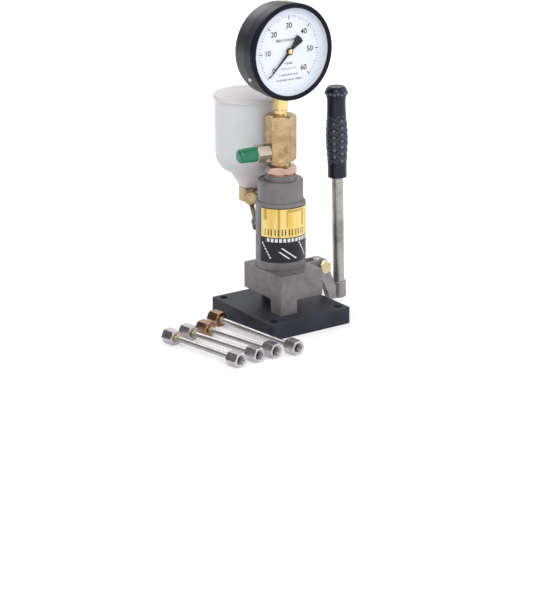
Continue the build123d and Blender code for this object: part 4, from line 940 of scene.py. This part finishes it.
@dataclass(frozen=True)
class Needle:
    """The dial's flat pointer: a thin needle, a round boss and a fan-shaped tail."""

    reach: float = 0.035
    tip: float = 0.00025
    boss: float = 0.0039
    neck: float = 0.0013
    tail: float = 0.0188
    fan: float = math.radians(15.5)
    thickness: float = 0.0009
    steps: int = 12

    def outline(self) -> list[tuple[float, float]]:
        """Go once round the pointer.

        Returns:
            Places along and across it, from its pivot.
        """
        neck = math.asin(self.neck / self.boss)
        shares = [step / self.steps for step in range(self.steps + 1)]
        arc = [neck + (math.pi - 2.0 * neck) * share for share in shares]
        fan = [self.fan * (1.0 - share) for share in shares[:-1]]
        side = [(self.reach, self.tip)] + [(self.boss * math.cos(a), self.boss * math.sin(a)) for a in arc]
        side += [(-self.tail * math.cos(a), self.tail * math.sin(a)) for a in fan]
        return side + [(-self.tail, 0.0)] + [(along, -across) for along, across in reversed(side)]

    def build(self, palette: Palette, bearing: float, pivot: float) -> None:
        """Cut the pointer in the place of the plain one.

        Args:
            palette: The materials.
            bearing: The angle at which it points at rest.
            pivot: Its pivot's height.
        """
        low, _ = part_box("gauge_pointer")
        outline = self.outline()
        count = len(outline)
        places = [(along, depth, across) for depth in (0.0, self.thickness) for along, across in outline]
        faces = [tuple(range(count)), tuple(range(2 * count - 1, count - 1, -1))]
        faces += [(i + count, (i + 1) % count + count, (i + 1) % count, i) for i in range(count)]
        mesh = bpy.data.meshes.new("pointer_plate")
        mesh.from_pydata(places, [], faces)
        mesh.transform(Matrix.Translation((0.0, low[1], pivot)) @ Matrix.Rotation(-bearing, 4, "Y"))
        mesh.materials.append(palette["ink"])
        made = add_object("pointer_plate", mesh)
        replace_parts(settle(made, "pointer"), "gauge_pointer")


@dataclass(frozen=True)
class Ticks:
    """One kind of tick on the dial: its name, its distance on the scale, and its size."""

    name: str
    every: int
    length: float
    width: float


@dataclass(frozen=True)
class PrintRow:
    """One row of small bars on the dial, at its rise above the middle."""

    count: int
    step: float
    width: float
    tall: float
    rise: float


@dataclass
class Gauge(Assembly):
    """Dial gauge: case, bezel, glass, movement and the dial's print."""

    centre_z: float = 0.295
    print_front: float = -0.01502
    print_depth: float = 0.00006
    sweep: float = 270.0
    start: float = 225.0
    top_value: int = 60
    rim: float = 0.0375
    number_every: int = 10
    number_radius: float = 0.0266
    number_size: float = 0.0078
    number_weight: float = 0.00016
    needle: Needle = Needle()
    ticks: tuple[Ticks, ...] = (Ticks("fine", 1, 0.0022, 0.00034), Ticks("middle", 5, 0.0034, 0.00045),
                                Ticks("main", 10, 0.0044, 0.00095))
    rows: tuple[PrintRow, ...] = (
        PrintRow(13, 0.0025, 0.0019, 0.0034, 0.0120), PrintRow(9, 0.0011, 0.0008, 0.0022, -0.0125),
        PrintRow(14, 0.0014, 0.0010, 0.0013, -0.0178), PrintRow(16, 0.0015, 0.0011, 0.0021, -0.0243),
        PrintRow(22, 0.0015, 0.0011, 0.0021, -0.0296))
    finishes = {
        "gauge_black": "gauge_case", "bezel_black": "gauge_bezel", "steel": "bezel_screws",
        "glass": "gauge_glass", "pale_seal": "glass_gasket", "dial": "gauge_dial", "seal": "relief_plug",
        "bronze": "bourdon_tube", "brass": "gauge_link sector_gear",
        "stem_brass": "movement_frame pointer_arbor"}

    def add(self, palette: Palette) -> None:
        """Print the dial and cut its pointer."""
        self._ticks(palette)
        self._numbers(palette)
        self._rows(palette)
        self.needle.build(palette, math.radians(self.start), self.centre_z)

    def _ticks(self, palette: Palette) -> None:
        """Set the scale's ticks, longer at every fifth and tenth."""
        tree = tick_tree()
        for kind in self.ticks:
            count = self.top_value // kind.every + 1
            made = tree.bake(f"dial_{kind.name}_ticks", Count=count, Radius=self.rim - kind.length / 2,
                             Length=kind.length, Width=kind.width, Thickness=self.print_depth,
                             Start=math.radians(self.start), Step=math.radians(self.sweep / (count - 1)),
                             Front=self.print_front, Middle=self.centre_z, Finish=palette["ink"])
            settle(made, "tester")

    def _rows(self, palette: Palette) -> None:
        """Print plain rows of small bars where a dial carries its small print."""
        tree = print_tree()
        for number, row in enumerate(self.rows, 1):
            made = tree.bake(f"dial_print_row_{number}", Count=row.count, Step=row.step, Width=row.width,
                             Tall=row.tall, Thickness=self.print_depth, Height=self.centre_z + row.rise,
                             Front=self.print_front, Seed=number, Finish=palette["soft_ink"])
            settle(made, "tester")

    def _numbers(self, palette: Palette) -> None:
        """Print the scale's numbers upright inside the ticks."""
        for value in range(0, self.top_value + 1, self.number_every):
            angle = math.radians(self.start - self.sweep * value / self.top_value)
            text = bpy.data.curves.new("number", "FONT")
            text.body = str(value)
            text.size = self.number_size
            text.align_x = text.align_y = "CENTER"
            text.extrude = self.print_depth / 2
            text.offset = self.number_weight
            mesh = plain_mesh(add_object("number", text))
            place = Vector((math.cos(angle) * self.number_radius, self.print_front,
                            self.centre_z + math.sin(angle) * self.number_radius))
            mesh.transform(Matrix.Translation(place) @ Matrix.Rotation(math.pi / 2, 4, "X"))
            mesh.materials.clear()
            mesh.materials.append(palette["ink"])
            settle(add_object(f"dial_number_{value}", mesh), "tester")


class OilCup(Assembly):
    """Cup, lid, strainer and the brass joint under it."""

    finishes = {"milky": "oil_cup", "lid_milky": "cup_lid", "brass": "cup_strainer cup_fitting banjo_bolt",
                "copper": "banjo_washers", "feed_brass": "feed_pipe"}


@dataclass
class AdapterPipes(Assembly):
    """Four pipes with loose union nuts, their threads showing in the open mouths."""

    thread_radius: float = 0.00515
    thread_start: float = 0.0007
    thread_turns: float = 4.0
    ridge: float = 0.00042
    pitch: float = 0.0015
    collar_reach: float = 0.0108
    far_finishes: tuple[str, ...] = ("zinc", "zinc", "brown_zinc", "brown_zinc")
    finishes = {"zinc": "near_nut_1 near_nut_2 near_nut_3 near_nut_4"}

    def add(self, palette: Palette) -> None:
        """Dress the pipes and their far nuts and cut every nut's thread."""
        tree = winding_tree("thread_ridge", 28, 4, smooth=False)
        turns = {joint["child"]: joint for joint in frame["joints"]}
        for number, far in enumerate(self.far_finishes, 1):
            ends = {end: Vector(turns[f"{end}_nut_{number}"]["pos_m"]) for end in ("far", "near")}
            pipe = f"adapter_pipe_{number}"
            front = ends["far"].y - self.collar_reach
            palette[pipe] = CollaredPipe(pipe, collar_front=front).material()
            dress(palette, {pipe: pipe, far: f"far_nut_{number}"})
            middle = (ends["far"] + ends["near"]) / 2
            for end, point in ends.items():
                thread = tree.bake(f"{end}_nut_thread_{number}", Turns=self.thread_turns, Wire=self.ridge,
                                   Radius=self.thread_radius, Low=0.0, Rise=self.thread_turns * self.pitch,
                                   Finish=palette["zinc"])
                outward = (point - middle).normalized()
                mouth = point + outward * self.thread_start
                turn = outward.to_track_quat("Z", "Y").to_matrix().to_4x4()
                thread.matrix_world = Matrix.Translation(mouth) @ turn
                bpy.context.view_layer.update()
                settle(thread, f"{end}_nut_{number}")


# studio


@dataclass(frozen=True)
class Lamp:
    """A square lamp: where it hangs, its side in metres and its power in watts."""

    name: str
    place: Place
    side: float
    power: float

    def hang(self, aim: Place) -> None:
        """Hang the lamp so that it looks at a place."""
        data = bpy.data.lights.new(self.name, "AREA")
        data.size = self.side
        data.energy = self.power
        lamp = add_object(self.name, data)
        lamp.location = self.place
        lamp.rotation_euler = (Vector(self.place) - Vector(aim)).to_track_quat("Z", "Y").to_euler()


@dataclass(frozen=True)
class Card:
    """A dark card that stands behind the tester's left, seen in its metal alone."""

    place: Place = (-1.34, 1.05, 0.66)
    half_width: float = 0.8
    half_height: float = 0.5
    cloth: tuple[Colour, Colour] = ((0.05, 0.045, 0.055), (0.035, 0.032, 0.04))

    def stand(self) -> None:
        """Stand the card so that it faces the tester."""
        middle = Vector(self.place)
        along = Vector((middle.y, -middle.x, 0.0)).normalized() * self.half_width
        up = Vector((0.0, 0.0, self.half_height))
        mesh = bpy.data.meshes.new("dark_card")
        mesh.from_pydata([middle - along - up, middle + along - up, middle + along + up,
                          middle - along + up], [], [(0, 1, 2, 3)])
        card = add_object("dark_card", mesh)
        look = Surface("card_cloth", Roughness=1.0, Specular_IOR_Level=0.0)
        look.feed(Base_Color=look.mix(*self.cloth, look.noise(7.0, 2.0)))
        mesh.materials.append(look.material)
        card.visible_camera = card.visible_diffuse = card.visible_shadow = False


@dataclass
class Studio:
    """Pale floor, soft lamps and the photograph's camera."""

    azimuth: float = -35.0
    elevation: float = 18.7
    distance: float = 2.003
    target: Place = (0.0, 0.0, 0.02)
    lens: float = 110.7
    shift_x: float = -0.0225
    floor_radius: float = 6.0
    floor_sides: int = 64
    floor_paint: tuple[Colour, Colour] = ((0.86, 0.855, 0.865), (0.82, 0.815, 0.825))
    floor_glow: tuple[Colour, Colour] = ((0.25, 0.247, 0.255), (0.8, 0.8, 0.8))
    glow_span: Span = (0.25, 1.6)
    world_light: float = 0.72
    aim: Place = (0.0, 0.0, 0.15)
    card: Card = Card()
    lamps: tuple[Lamp, ...] = (Lamp("key", (-0.9, -1.5, 1.7), 1.1, 18.0),
                               Lamp("fill", (1.5, -0.9, 0.9), 1.2, 9.0),
                               Lamp("rim", (0.2, 1.4, 1.6), 1.0, 8.0))

    def build(self) -> None:
        """Set the stage."""
        bpy.context.scene.view_settings.view_transform = "Standard"
        self._camera()
        self._floor()
        self._world()
        self.card.stand()
        for lamp in self.lamps:
            lamp.hang(self.aim)

    def _camera(self) -> None:
        """Make the camera."""
        turn, rise = math.radians(self.azimuth), math.radians(self.elevation)
        back = Vector((math.sin(turn) * math.cos(rise), -math.cos(turn) * math.cos(rise), math.sin(rise)))
        data = bpy.data.cameras.new("camera")
        data.lens = self.lens
        data.sensor_width = 36.0
        data.shift_x = self.shift_x
        camera = add_object("camera", data)
        camera.location = Vector(self.target) + back * self.distance
        camera.rotation_euler = back.to_track_quat("Z", "Y").to_euler()
        bpy.context.scene.camera = camera

    def _floor(self) -> None:
        """Make the pale floor, a wide disc."""
        mesh = bpy.data.meshes.new("floor")
        turns = [i / self.floor_sides * math.tau for i in range(self.floor_sides)]
        ring = [Vector((math.cos(turn), math.sin(turn), 0.0)) * self.floor_radius for turn in turns]
        mesh.from_pydata(ring, [], [tuple(range(self.floor_sides))])
        floor = add_object("floor", mesh)
        look = Surface("pale_floor", Roughness=0.8, Specular_IOR_Level=0.1, Emission_Strength=1.0)
        away = look.vector_maths("LENGTH", look.place(), output="Value")
        glow = look.mix(*self.floor_glow, away.ramp(*self.glow_span))
        look.feed(Base_Color=look.mix(*self.floor_paint, look.noise(9.0, 2.0)),
                  Emission_Color=look.mix((0.0, 0.0, 0.0), glow, look.seen()))
        mesh.materials.append(look.material)

    def _world(self) -> None:
        """Make an even world that is white to the camera, to gloss and to glass."""
        world = bpy.data.worlds.new("studio")
        bpy.context.scene.world = world
        world.use_nodes = True
        bench = NodeBench()
        bench.tree = world.node_tree
        bench.tree.nodes.clear()
        strength = bench.seen() * (1.0 - self.world_light) + self.world_light
        light = bench.node("ShaderNodeBackground", {"Color": (1.0, 1.0, 1.0), "Strength": strength})
        end = bench.tree.nodes.new("ShaderNodeOutputWorld")
        bench.tree.links.new(light.socket, end.inputs[0])


def main() -> None:
    """Build the tester's looks in order."""
    logging.basicConfig(level=logging.INFO, format="%(name)s: %(message)s")
    palette = Palette()
    Studio().build()
    for assembly in (Stand(), HandLever(), Manifold(), Gauge(), OilCup(), AdapterPipes()):
        assembly.build(palette)


if __name__ == "__main__":
    main()
